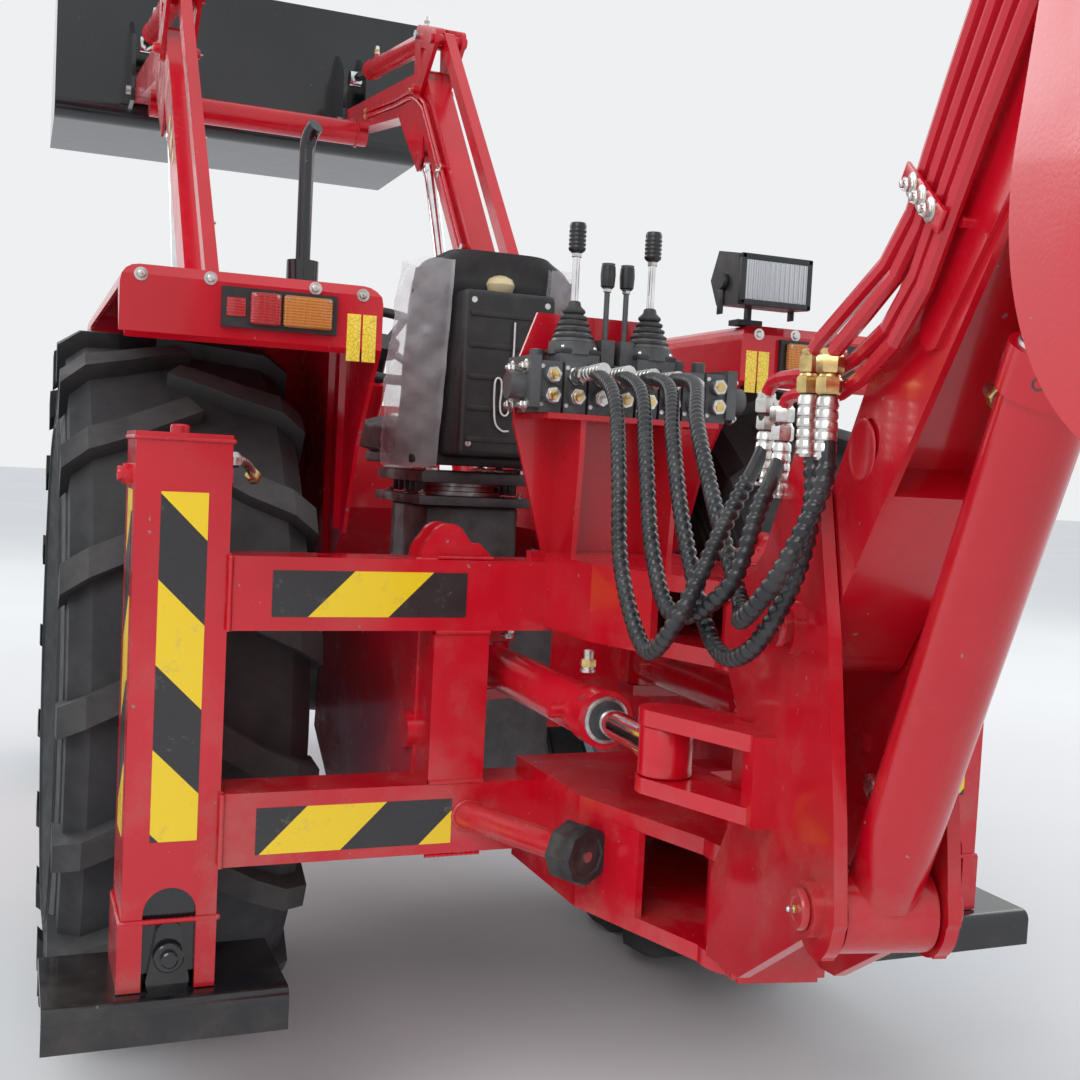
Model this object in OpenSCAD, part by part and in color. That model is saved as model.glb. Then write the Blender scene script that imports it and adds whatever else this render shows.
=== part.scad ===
// Backhoe loader on a utility tractor, built up from its real pieces.
// Machine frame while modelling: X forward from the rear axle, Y to the left, Z up from the ground.
// Hoe pieces are drawn in the hoe plane: X is the distance behind the swing axis, Z is height.

/* [Wheels] */
// Distance between the front and rear axles
wheelbase = 2290; // [2150:10:2450]
// Rear tyre radius over the lugs
rear_r = 765; // [740:5:790]
// Rear tyre width
rear_w = 467; // [420:1:490]
// Distance between the rear wheel centres
rear_track = 1430; // [1400:10:1500]
// Radius of the rear rim where the bead sits
rear_rim_r = 396; // [380:1:410]
// Height of the rear tyre's lugs
lug_h = 38; // [28:1:44]
// Lugs on each side of a rear tyre
rear_lugs = 18; // [16:1:20]
// Width of a rear lug
lug_w = 52; // [44:1:58]
// Depth of the grooves between the front tyre's ribs
rib_h = 15; // [10:1:18]
// Front tyre radius over the ribs
front_r = 402; // [385:1:420]
// Front tyre width
front_w = 205; // [180:1:215]
// Distance between the front wheel centres
front_track = 1450; // [1420:10:1500]
// Radius of the front rim where the bead sits
front_rim_r = 208; // [200:1:215]
// Sideways place of each steering kingpin
kingpin_y = 545; // [530:1:550]

/* [Tractor body] */
// Half width of the bonnet
bonnet_half = 270; // [240:5:290]
// Height of the bonnet's top
bonnet_top = 1450; // [1400:10:1500]
// Sheet thickness of the bonnet and the fenders
sheet = 8; // [5:1:12]
// Inner side of each fender
fender_in = 390; // [370:5:410]
// Outer side of each fender
fender_out = 865; // [820:5:900]
// Height of the fender's flat top
fender_top = 1600; // [1590:5:1650]

/* [Hoe frame] */
// Rear face of the hoe frame, behind the rear axle
frame_rear = 995; // [985:1:1020]
// Outer side of the stabilizer legs
leg_out = 852; // [830:1:880]
// Width of a stabilizer sleeve
leg_w = 150; // [140:1:160]
// Depth of a stabilizer sleeve, fore and aft
leg_d = 165; // [150:1:170]
// Top of the stabilizer sleeves
leg_top = 1294; // [1260:1:1320]
// Bottom of the stabilizer sleeves
leg_bottom = 400; // [390:1:420]
// Wall of a stabilizer sleeve
leg_wall = 9; // [6:1:12]
// Underside of the upper cross beam
upper_beam_z = 987; // [975:1:1000]
// Underside of the lower cross beam
lower_beam_z = 597; // [590:1:610]
// Height of both cross beams
beam_h = 122; // [110:1:130]
// Depth of both cross beams, fore and aft
beam_d = 100; // [80:1:120]

/* [Swing tower] */
// Distance of the swing axis behind the rear axle
swing_x = 1470; // [1450:1:1500]
// Angle the hoe is swung to the left as it stands
swing_rest = 12; // [0:1:20]
// Distance of the boom's foot pin behind the swing axis
foot_r = 312; // [300:1:330]
// Height of the boom's foot pin
foot_z = 1095; // [1080:1:1110]
// Clear width between the tower's two side plates
tower_gap = 120; // [118:1:126]
// Thickness of the tower's side plates
tower_t = 16; // [12:1:20]

/* [Boom] */
// Angle of the boom above level as it stands
boom_angle = 53; // [50:1:56]
// Length from the foot pin to the boom's bend
boom_len_a = 1150; // [1100:5:1200]
// Length from the bend to the tip pin
boom_len_b = 1050; // [1000:5:1100]
// Bend of the boom
boom_bend = 14; // [8:1:18]
// Width over the boom's side plates
boom_w = 115; // [113:1:116]
// Thickness of the boom's plates
boom_t = 8; // [6:1:8]

/* [Dipper] */
// Length from the boom's tip pin to the bucket pin
dipper_len = 1240; // [1200:5:1300]
// Angle of the dipper past straight down, toward the machine
dipper_lean = 12; // [8:1:16]
// Length of the dipper's lever above the tip pin
dipper_horn = 330; // [310:5:350]
// Width of the dipper
dipper_w = 105; // [95:1:110]

/* [Hoe bucket] */
// Width of the hoe bucket
hoe_bucket_w = 460; // [380:10:520]
// Radius of the hoe bucket's heel
heel_r = 180; // [160:5:190]
// Angle the hoe bucket is curled in, from straight below the dipper
curl_rest = 105; // [100:1:110]
// Number of teeth on the hoe bucket
hoe_teeth = 4; // [3:1:5]

/* [Loader] */
// Sideways place of each loader arm's centre
arm_y = 500; // [490:1:510]
// Width of a loader arm
arm_w = 90; // [70:1:100]
// Half depth of a loader arm at its foot
arm_root_r = 62; // [58:1:66]
// Half depth of a loader arm at its knee
arm_knee_r = 82; // [76:1:88]
// Half depth of a loader arm at its front pin
arm_tip_r = 55; // [50:1:58]
// Outer diameter of the loader's cross tube
cross_tube_d = 114; // [100:1:125]
// Half width of the loader bucket
loader_half = 890; // [850:5:950]
// Depth of the loader bucket's floor, front to back
loader_floor = 800; // [750:10:850]
// Height of the loader bucket's back
loader_back = 700; // [650:10:750]
// Plate thickness of the loader bucket
loader_t = 10; // [8:1:14]
// Distance of the bucket's back ahead of the arms' front pins
bucket_ahead = 190; // [170:5:210]
// Distance of the bucket's floor below the arms' front pins
bucket_drop = 110; // [90:5:130]
// Width of the level links
link_w = 56; // [48:1:60]

/* [Pins and cylinders] */
// Radius of the main pins
pin_r = 20; // [18:1:22]
// Radial clearance of a pin in its bore
run = 0.05; // [0.02:0.01:0.08]
// Side clearance between pieces that turn on one pin
side_gap = 1; // [0.4:0.1:2]
// Gap between pieces that only rest against each other
seat_gap = 0.3; // [0.2:0.1:0.6]

/* [Hidden] */
$fn = 48;
red = "#c8102e";
black = "#1c1c1e";
grey = "#5b5f63";
steel = "#b9bdc2";
blue = "#a9c7dd";

function polar(a, r) = [r * cos(a), r * sin(a)];
function angle_of(v) = atan2(v[1], v[0]);
function turned(p, a) = [p[0] * cos(a) - p[1] * sin(a), p[0] * sin(a) + p[1] * cos(a)];

// Key points of the loader, each [x, z] in the machine frame
arm_pivot = [880, 1420];
knee = [2050, 2760];
arm_front = [3380, 2930];
link_offset = [-190, 150];
tilt_offset = [20, 220];
lift_base = [1150, 760];
lift_eye = [2040, 2480];
link_base = arm_pivot + link_offset;
link_top = knee + link_offset;
tilt_base = knee + tilt_offset;
tilt_eye = arm_front + tilt_offset;

// Key points of the hoe, each [r, z] in the hoe plane
foot = [foot_r, foot_z];
boom_dir = polar(boom_angle, 1);
boom_up = polar(boom_angle + 90, 1);
boom_knee = foot + boom_len_a * boom_dir;
tip_dir = polar(boom_angle - boom_bend, 1);
tip = boom_knee + boom_len_b * tip_dir;
boom_cyl_foot = [437, 787];
boom_cyl_eye = foot + 972 * boom_dir - 63 * boom_up;
dipper_cyl_foot = boom_knee + 165 * polar(boom_angle - boom_bend / 2 + 90, 1);
dipper_dir = polar(270 - dipper_lean, 1);
dipper_out = polar(360 - dipper_lean, 1);
bucket_pin = tip + dipper_len * dipper_dir;
horn_eye = tip - dipper_horn * dipper_dir;
curl_foot = tip + 150 * dipper_dir + 170 * dipper_out;
rocker_pin = tip + (dipper_len - 260) * dipper_dir + 20 * dipper_out;
rocker_len = 270;
link_len = 250;
bucket_u = polar(270 - curl_rest, 1);
bucket_v = polar(180 - curl_rest, 1);
function in_bucket(p) = bucket_pin + p[0] * bucket_u + p[1] * bucket_v;
bucket_link_pin = in_bucket([-30, -200]);
link_span = norm(bucket_link_pin - rocker_pin);
link_along = (rocker_len * rocker_len - link_len * link_len + link_span * link_span) / (2 * link_span);
link_side = sqrt(rocker_len * rocker_len - link_along * link_along);
span_dir = (bucket_link_pin - rocker_pin) / link_span;
rocker_eye = rocker_pin + link_along * span_dir + link_side * [-span_dir[1], span_dir[0]];

// Key points of the swing cylinders, each [x, y] from the swing axis
swing_foot = [700, 170];
swing_eye_r = 100;
swing_eye_y = 165;
swing_z = 895;

// Middle of the machine's length, which is the part's origin
front_end = arm_front[0] + bucket_ahead + loader_floor;
rear_end = -swing_x - (tip[0] + 210) * cos(swing_rest);
middle_x = (front_end + rear_end) / 2;

module machine() {
    translate([-middle_x, 0, 0])
        children();
}

// Draws children, which use [r, y, z], in the swung hoe's place
module hoe() {
    machine()
        translate([-swing_x, 0, 0])
            rotate([0, 0, -swing_rest])
                mirror([1, 0, 0])
                    children();
}

module both_sides() {
    children();
    mirror([0, 1, 0])
        children();
}

module side(s) {
    if (s > 0)
        children();
    else
        mirror([0, 1, 0])
            children();
}

// Extrudes an outline drawn in X and Z to thickness t, centred on y
module slab(y, t) {
    translate([0, y + t / 2, 0])
        rotate([90, 0, 0])
            linear_extrude(t)
                children();
}

// Box between two corners
module block(a, b) {
    translate(a)
        cube(b - a);
}

// Round pin along Y through the point p, from y0 to y1
module pin(p, r, y0, y1) {
    translate([p[0], y1, p[1]])
        rotate([90, 0, 0])
            cylinder(h = y1 - y0, r = r);
}

// How far a round end stands proud of the sides that run into it
end_step = 0.6;

// Bar outline of width w with round ends at p and q
module bar2d(p, q, w) {
    translate(p)
        rotate(angle_of(q - p))
            translate([0, end_step - w / 2])
                square([norm(q - p), w - 2 * end_step]);
    translate(p)
        circle(w / 2);
    translate(q)
        circle(w / 2);
}

// Bar outline with a round end of radius rp at p and rq at q
module taper2d(p, q, rp, rq) {
    d = norm(q - p);
    a = acos((rp - rq) / d);
    t = angle_of(q - p);
    polygon([p + polar(t + a, rp - end_step), p + polar(t - a, rp - end_step),
        q + polar(t - a, rq - end_step), q + polar(t + a, rq - end_step)]);
    translate(p)
        circle(rp);
    translate(q)
        circle(rq);
}

// Unit normal to the left of the line from p to q
function left_of(p, q) = [p[1] - q[1], q[0] - p[0]] / norm(q - p);

// Line through the points, moved by d to its left, with mitred corners
function beside(points, d) = [
    for (i = [0 : len(points) - 1])
        let (a = left_of(points[max(i - 1, 0)], points[max(i, 1)]),
            b = left_of(points[min(i, len(points) - 2)], points[min(i + 1, len(points) - 1)]))
        points[i] + d * (a + b) / (1 + a * b)
];
// Point at u, from 0 to len(p) - 1, on a smooth curve through the points p
function smooth_at(p, u) =
    let (i = min(floor(u), len(p) - 2), t = u - i, a = p[max(i - 1, 0)], b = p[i], c = p[i + 1],
        d = p[min(i + 2, len(p) - 1)])
    (2 * b + (c - a) * t + (2 * a - 5 * b + 4 * c - d) * t * t + (3 * b - a - 3 * c + d) * t * t * t) / 2;

function unit(v) = v / norm(v);

// Tube of radius r swept through the points p from u0 to u1 in n rings of eight
module tube(p, r, u0, u1, n) {
    sides = 8;
    rings = [for (i = [0 : n - 1])
        let (u = u0 + (u1 - u0) * i / (n - 1), e = 0.001,
            dir = unit(smooth_at(p, min(u + e, len(p) - 1)) - smooth_at(p, max(u - e, 0))),
            across = unit(cross(dir, [0.21, 0.97, 0.06])), upward = cross(across, dir))
        [for (k = [0 : sides - 1])
            smooth_at(p, u) + r * (cos(k * 360 / sides) * across + sin(k * 360 / sides) * upward)]];
    polyhedron([for (ring = rings, v = ring) v],
        concat([[for (k = [0 : sides - 1]) k]],
            [for (i = [0 : n - 2], k = [0 : sides - 1])
                let (a = i * sides + k, b = i * sides + (k + 1) % sides)
                [a, a + sides, b + sides, b]],
            [[for (k = [sides - 1 : -1 : 0]) (n - 1) * sides + k]]));
}

// Arc of n steps about c from angle a to angle b
function arc(c, r, a, b, n) = [for (i = [0 : n]) c + polar(a + (b - a) * i / n, r)];

function reversed(list) = [for (i = [len(list) - 1 : -1 : 0]) list[i]];

// Places children so that their X axis runs from p toward q, in the XZ plane
module along(p, q, y = 0) {
    translate([p[0], y, p[1]])
        rotate([0, -angle_of(q - p), 0])
            children();
}

// Cylinder barrel along X from its eye at the origin, with a port block and a gland
module barrel(len, r, rod_r, eye_r, eye_w, bore_from) {
    difference() {
        union() {
            rotate([90, 0, 0])
                cylinder(h = eye_w, r = eye_r, center = true);
            translate([eye_r * 0.6, 0, 0])
                rotate([0, 90, 0])
                    cylinder(h = len - eye_r * 0.6, r = r);
            translate([len - 45, 0, 0])
                rotate([0, 90, 0])
                    cylinder(h = 45, r = r + 5);
            for (x = [eye_r + 60, len - 80])
                translate([x, 0, 0])
                    cylinder(h = r + 22, r = 11);
        }
        rotate([90, 0, 0])
            cylinder(h = eye_w + 2, r = pin_r + run, center = true);
        translate([bore_from, 0, 0])
            rotate([0, 90, 0])
                cylinder(h = len, r = rod_r + 0.4);
    }
}

// Cylinder rod along X from x0 to its eye at x1
module rod(x0, x1, rod_r, eye_r, eye_w) {
    translate([x0, 0, 0])
        rotate([0, 90, 0])
            cylinder(h = x1 - x0, r = rod_r);
    translate([x1, 0, 0])
        rotate([90, 0, 0])
            cylinder(h = eye_w, r = eye_r, center = true);
    translate([x1 - eye_r - 18, 0, 0])
        rotate([0, 90, 0])
            cylinder(h = 26, r = rod_r + 5);
}
// Wheels

flange_h = 14;
flange_t = 8;
rim_half = 187;
rear_shaft_r = 40;
rear_disc_y = 40;

// Tyre of width w, drawn about Y, on a bead of radius b and half width hb. Its crown runs from the shoulder
// to the middle, each point [radius, share of the half width]
module tyre_body(w, b, hb, crown) {
    half = w / 2;
    deep = crown[0][0] - b;
    side = concat([[b, hb], [b + flange_h + 2, hb], [b + deep * 0.5, half]],
        [for (c = crown) [c[0], c[1] * half]]);
    rotate([90, 0, 0])
        rotate_extrude($fn = tyre_sides)
            polygon(concat(side, [for (c = reversed(side)) [c[0], -c[1]]]));
}

// Middle line of a rear lug, each point [way round ahead of the lug's place, share of the half width]
lug_line = [[95, -0.07], [12, 0.5], [-48, 1.06]];
lug_proud = 6;
tyre_sides = 26;
carcass_r = rear_r - lug_h;

// Crown that the lugs are trimmed to, about Z, from a little inside the carcass out to the full radius
module lug_crown() {
    half = rear_w / 2;
    side = [[carcass_r - 14, 0.7 * half], [carcass_r - 78, half], [rear_r - 34, half],
        [rear_r - 4, 0.8 * half]];
    rotate_extrude($fn = tyre_sides)
        polygon(concat(side, [for (c = reversed(side)) [c[0], -c[1]]]));
}

module rear_lug_ring() {
    pitch = 360 / rear_lugs;
    rotate([90, 0, 0])
        intersection() {
            lug_crown();
            for (i = [0 : rear_lugs - 1], s = [-1, 1]) {
                line = [for (c = lug_line) [-c[0], s * c[1] * rear_w / 2]];
                rotate((i + s / 4) * pitch)
                    translate([carcass_r - 90, 0, 0])
                        rotate([90, 0, 90])
                            linear_extrude(lug_h + 110)
                                polygon(concat(beside(line, lug_w / 2), reversed(beside(line, -lug_w / 2))));
            }
        }
}

module rear_tyre(s) {
    color(black)
        machine()
            translate([0, s * rear_track / 2, rear_r]) {
                tyre_body(rear_w - 2 * lug_proud, rear_rim_r + seat_gap, rim_half - flange_t - seat_gap,
                    [[carcass_r - 26, 0.95], [carcass_r, 0.78]]);
                rear_lug_ring();
            }
}

module front_tyre(s) {
    low = front_r - rib_h;
    color(black)
        machine()
            translate([wheelbase, s * front_track / 2, front_r])
                tyre_body(front_w, front_rim_r + seat_gap, front_half - flange_t - seat_gap,
                    [[front_r - 14, 0.95], [front_r - 4, 0.82], [front_r - 4, 0.6], [low, 0.52], [low, 0.2],
                        [front_r, 0.13]]);
}

// Rear rim, dished disc and hub, drawn about the Y axis with the outer side at +Y
module rear_rim_body() {
    rotate([-90, 0, 0])
        difference() {
            rotate_extrude($fn = tyre_sides)
                polygon([[rear_shaft_r + run, -80], [95, -80], [95, 20], [150, 20], [300, rear_disc_y],
                    [rear_rim_r - 26, rear_disc_y], [rear_rim_r - 26, -rim_half], [rear_rim_r + flange_h, -rim_half],
                    [rear_rim_r + flange_h, -rim_half + flange_t], [rear_rim_r, -rim_half + flange_t],
                    [rear_rim_r, rim_half - flange_t], [rear_rim_r + flange_h, rim_half - flange_t],
                    [rear_rim_r + flange_h, rim_half], [rear_rim_r - 26, rim_half],
                    [rear_rim_r - 26, rear_disc_y + 14], [296, rear_disc_y + 14], [146, 36], [110, 36], [110, 60],
                    [rear_shaft_r + run, 60]]);
            for (i = [0 : 7])
                rotate(i * 45)
                    translate([225, 0, -rim_half])
                        cylinder(h = 2 * rim_half, r = 30);
        }
}

module rear_rim(s) {
    color(blue)
        machine()
            side(s)
                translate([0, rear_track / 2, rear_r])
                    rear_rim_body();
}

spindle_r = 25;
front_half = 82;

module front_rim_body() {
    rotate([-90, 0, 0])
        rotate_extrude($fn = tyre_sides)
            polygon([[spindle_r + run, -40], [60, -40], [60, 0], [150, 8], [front_rim_r - 18, 8],
                [front_rim_r - 18, -front_half], [front_rim_r + flange_h, -front_half],
                [front_rim_r + flange_h, -front_half + flange_t], [front_rim_r, -front_half + flange_t],
                [front_rim_r, front_half - flange_t], [front_rim_r + flange_h, front_half - flange_t],
                [front_rim_r + flange_h, front_half], [front_rim_r - 18, front_half], [front_rim_r - 18, 18], [148, 18],
                [62, 14], [58, 60], [spindle_r + run, 60]]);
}

module front_rim(s) {
    color(blue)
        machine()
            side(s)
                translate([wheelbase, front_track / 2, front_r])
                    front_rim_body();
}

// Front axle and steering

beam_z = 560;
kingpin_r = 22;
arm_z = 470;
steer_arm = 150;

module front_axle() {
    color(red)
        machine() {
            difference() {
                union() {
                    block([wheelbase - 45, -kingpin_y, beam_z - 55], [wheelbase + 45, kingpin_y, beam_z + 45]);
                    both_sides()
                        translate([wheelbase, kingpin_y, beam_z - 75])
                            cylinder(h = 140, r = 45);
                    translate([wheelbase - 95 + seat_gap, 0, beam_z])
                        rotate([0, 90, 0])
                            cylinder(h = 190 - 2 * seat_gap, r = 70);
                }
                both_sides()
                    translate([wheelbase, kingpin_y, beam_z - 100])
                        cylinder(h = 220, r = kingpin_r + run);
            }
        }
}

module knuckle_body() {
    hub_y = front_track / 2 - 40 - side_gap;
    color(grey)
        machine() {
            translate([wheelbase, kingpin_y, front_r - 45])
                cylinder(h = beam_z + 85 - front_r + 45, r = kingpin_r);
            translate([wheelbase, kingpin_y, beam_z + 65 + side_gap])
                cylinder(h = 24, r = 36);
            translate([wheelbase, kingpin_y, front_r - 50])
                cylinder(h = beam_z - 75 - side_gap - front_r + 50, r = 40);
            translate([wheelbase, kingpin_y, front_r])
                rotate([-90, 0, 0])
                    cylinder(h = hub_y - kingpin_y, r = 38);
            translate([wheelbase, kingpin_y, front_r])
                rotate([-90, 0, 0])
                    cylinder(h = front_track / 2 + 50 - kingpin_y, r = spindle_r);
            translate([0, 0, arm_z - 12])
                linear_extrude(24)
                    bar2d([wheelbase, kingpin_y], [wheelbase - steer_arm, kingpin_y], 56);
        }
}

module knuckle(s) {
    side(s)
        knuckle_body();
}

module tie_rod() {
    color(grey)
        machine()
            translate([wheelbase - steer_arm, 0, 0]) {
                translate([0, -kingpin_y + 10, arm_z - 38])
                    rotate([-90, 0, 0])
                        cylinder(h = 2 * kingpin_y - 20, r = 14);
                both_sides()
                    translate([0, kingpin_y, arm_z - 56])
                        cylinder(h = 44 - seat_gap, r = 22);
            }
}
// Tractor body

bolster_half = 170;

module engine() {
    color(grey)
        machine() {
            block([1130, -230, 640], [2010, 230, 1160]);
            block([2010, -bolster_half, 700], [2560, bolster_half, 860]);
            block([2240, sheet + seat_gap - bonnet_half, 860], [2560, bonnet_half - sheet - seat_gap, 1260]);
            for (x = [wheelbase - 130, wheelbase + 95])
                block([x, -90, beam_z - 60], [x + 35, 90, 700]);
        }
}

axle_pad_z = 885;

module gearbox() {
    color(grey)
        machine() {
            block([-200, -200, 520], [260, 200, 980]);
            block([260, -160, 560], [1130, 160, 920]);
            both_sides()
                block([-60, fender_in - 20, rear_r], [60, fender_in + 30, axle_pad_z]);
            both_sides()
                translate([0, 199, rear_r])
                    rotate([-90, 0, 0]) {
                        cylinder(h = 330, r1 = 120, r2 = 90);
                        translate([0, 0, 330])
                            cylinder(h = rear_track / 2 - 80 - side_gap - 529, r = 90);
                        cylinder(h = rear_track / 2 + 45 - 199, r = rear_shaft_r);
                    }
        }
}

bonnet_rear = 1120;
bonnet_nose = 2690;
exhaust_x = 1200;
exhaust_y = 165;
exhaust_r = 24;

// Side view of the bonnet, shrunk by t all round for its hollow
module bonnet_side(t) {
    polygon([[bonnet_rear - (t > 0 ? 1 : 0), 985 - (t > 0 ? 1 : 0)], [bonnet_nose - t, 985 - (t > 0 ? 1 : 0)],
        [bonnet_nose - t, bonnet_top - 190], [bonnet_nose - 40 - t * 0.8, bonnet_top - 90 - t * 0.6],
        [bonnet_nose - 130 - t * 0.3, bonnet_top - 45 - t], [bonnet_rear - (t > 0 ? 1 : 0), bonnet_top - t]]);
}

// Front view of the bonnet with round shoulders, shrunk by t
module bonnet_front(t) {
    w = bonnet_half - t;
    r = 90 - t;
    translate([-w, 900])
        square([2 * w, bonnet_top - r - t - 900]);
    translate([-w + r, 900])
        square([2 * (w - r), bonnet_top - t - 900]);
    for (s = [-1, 1])
        translate([s * (w - r), bonnet_top - r - t])
            circle(r);
}

module bonnet_solid(t) {
    intersection() {
        translate([0, 400, 0])
            rotate([90, 0, 0])
                linear_extrude(800)
                    bonnet_side(t);
        translate([900, 0, 0])
            rotate([90, 0, 90])
                linear_extrude(2000)
                    bonnet_front(t);
    }
}

module bonnet() {
    color(red)
        machine()
            difference() {
                bonnet_solid(0);
                bonnet_solid(sheet);
                block([bonnet_nose - 30, -200, 1010], [bonnet_nose + 10, 200, 1230]);
                translate([exhaust_x, exhaust_y, 1300])
                    cylinder(h = 200, r = exhaust_r + seat_gap);
            }
}

module grille() {
    color(black)
        machine() {
            difference() {
                block([bonnet_nose - 29, -199.7, 1010.3], [bonnet_nose + 12, 199.7, 1229.7]);
                block([bonnet_nose - 40, -180, 1025], [bonnet_nose + 20, 180, 1215]);
            }
            for (z = [1050 : 27.5 : 1200])
                block([bonnet_nose - 18, -181, z - 4], [bonnet_nose + 4, 181, z + 4]);
            both_sides()
                translate([bonnet_nose - 15, 115, 1120])
                    rotate([0, 90, 0])
                        cylinder(h = 32, r = 62);
        }
}

wheel_centre = [740, 1620];
column_foot = [930, 1350];
column_tube = 200;

module dash() {
    color(red)
        machine()
            difference() {
                union() {
                    slab(0, 2 * bonnet_half - 60)
                        polygon([[bonnet_rear - seat_gap, 920 + seat_gap], [bonnet_rear - seat_gap, 1440], [960, 1440],
                            [900, 1330], [880, 1120], [930, 920 + seat_gap]]);
                    along(column_foot, wheel_centre)
                        rotate([0, 90, 0])
                            cylinder(h = column_tube, r = 32);
                }
                along(column_foot, wheel_centre)
                    translate([-40, 0, 0])
                        rotate([0, 90, 0])
                            cylinder(h = column_tube + 80, r = 16 + run);
            }
}

module steering_wheel() {
    color(black)
        machine()
            along(wheel_centre, column_foot)
                rotate([0, 90, 0]) {
                    rotate_extrude($fn = 60)
                        translate([200, 0])
                            circle(15, $fn = 20);
                    translate([0, 0, -10])
                        cylinder(h = 40, r = 45);
                    for (a = [90, 210, 330])
                        rotate(a)
                            translate([20, -11, 0])
                                cube([172, 22, 12]);
                    cylinder(h = norm(column_foot - wheel_centre) + 20, r = 16);
                }
}

fender_rear = 700;
fender_edge_r = 34;
fender_lip = 42;
rib_depth = 11;
fender_line = [[-fender_rear, 1480], [-fender_rear, fender_top - 20], [-fender_rear + 20, fender_top],
    [290, fender_top], [400, fender_top - 32], [540, 1455], [695, 1175], [722, 1090]];
fender_foot = [[350, 1090], [200, 920], [-200, 920], [-480, 1120], [-560, 1300]];

// Fender's section across the machine with round top edges, shrunk by t
module fender_section(t) {
    r = fender_edge_r;
    polygon(concat([[fender_in + t, 300]], arc([fender_in + r, fender_top - r], r - t, 180, 90, 4),
        arc([fender_out - r, fender_top - r], r - t, 90, 0, 4), [[fender_out - t, 300]]));
}

// Fender's full form, shrunk by t, above the line of points that closes it below
module fender_form(t, below) {
    intersection() {
        slab((fender_in + fender_out) / 2, 900)
            polygon(concat(beside(fender_line, -t), below));
        translate([-900, 0, 0])
            rotate([90, 0, 90])
                linear_extrude(1800)
                    fender_section(t);
    }
}

module fenders() {
    lip_z = fender_top - fender_lip;
    lip_front = fender_line[4][0] - 20;
    color(red)
        machine()
            both_sides() {
                block([-60, fender_in - 12, axle_pad_z + seat_gap], [60, fender_in + sheet, axle_pad_z + 70]);
                difference() {
                    fender_form(0, fender_foot);
                    fender_form(sheet, [[714, 200], [-692, 200]]);
                    // Open outer side, below the lip
                    slab(fender_out, 2 * sheet + 4)
                        polygon([[fender_lip - fender_rear, lip_z], [lip_front, lip_z],
                            [lip_front + 50, fender_top + 100], [900, fender_top + 100], [900, 300], [-900, 300],
                            [-fender_rear - 20, fender_line[0][1] - fender_lip]]);
                }
                // Pressed ribs of the inner panel, each place [x, lower end]
                for (c = [[-456, 1125], [-356, 1065]])
                    translate([c[0], fender_in + sheet, c[1]])
                        linear_extrude(fender_top - 60 - c[1])
                            polygon([[0, -1], [14, rib_depth], [46, rib_depth], [60, -1]]);
            }
}

module platform() {
    color(red)
        machine() {
            both_sides() {
                block([330, 160 + seat_gap, 700], [750, 430, 712]);
                block([750, 160 + seat_gap, 700], [880, 225, 712]);
                block([540, 330, 430], [750, 430, 440]);
                for (x = [540, 742])
                    block([x, 420, 440], [x + 8, 430, 700]);
            }
        }
}
// Operator's place

module seat() {
    color(black)
        machine() {
            block([-150, -120, 980 + seat_gap], [170, 120, 1170]);
            block([-190, -145, 1170], [210, 145, 1195]);
            translate([0, 0, 1190])
                cylinder(h = 40, r = 120);
            block([-200, -150, 1225], [220, 150, 1285]);
            slab(0, 450)
                taper2d([-150, 1320], [230, 1335], 58, 45);
            slab(0, 400)
                taper2d([-140, 1340], [-222, 1742], 45, 34);
            slab(0, 225)
                polygon([[-340, 1290], [-190, 1290], [-200, 1400], [-235, 1668], [-345, 1668]]);
        }
}

module exhaust() {
    color(black)
        machine() {
            translate([exhaust_x, exhaust_y, 0]) {
                translate([0, 0, 1160 + seat_gap])
                    cylinder(h = 320, r = exhaust_r);
                translate([0, 0, 1478])
                    cylinder(h = 430, r = 52);
                translate([0, 0, 1900])
                    cylinder(h = 370, r = exhaust_r);
                translate([0, 0, 2269])
                    rotate([90, 0, 30])
                        translate([-90, 0, 0])
                            rotate_extrude(angle = 55)
                                translate([90, 0])
                                    circle(exhaust_r + 2);
            }
        }
}

module lamps() {
    color(black)
        machine() {
            // Work lamp on the right fender
            block([-670, -455, fender_top + seat_gap], [-630, -395, fender_top + 12]);
            block([-665, -430, fender_top + 12], [-650, -420, fender_top + 60]);
            slab(-425, 170)
                polygon([[-760, fender_top + 30], [-755, fender_top + 135], [-670, fender_top + 150],
                    [-640, fender_top + 90], [-670, fender_top + 35]]);
            both_sides() {
                block([-fender_rear - 12, 480, 1500], [-fender_rear - seat_gap, 690, 1572]);
                for (y = [[492, 580], [586, 640]])
                    block([-fender_rear - 24, y[0], 1508], [-fender_rear - 11, y[1], 1564]);
            }
        }
}

// Loader

tower_x0 = 795;
tower_x1 = 1030;
bumper_face = 2600;
hitch_x = 2665;
hitch_z = 770;
hitch_gap = 60;
hitch_t = 20;
hitch_r = 16;
bolt_y = 250;
bolt_z = 80;
bolt_r = 9;

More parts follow.
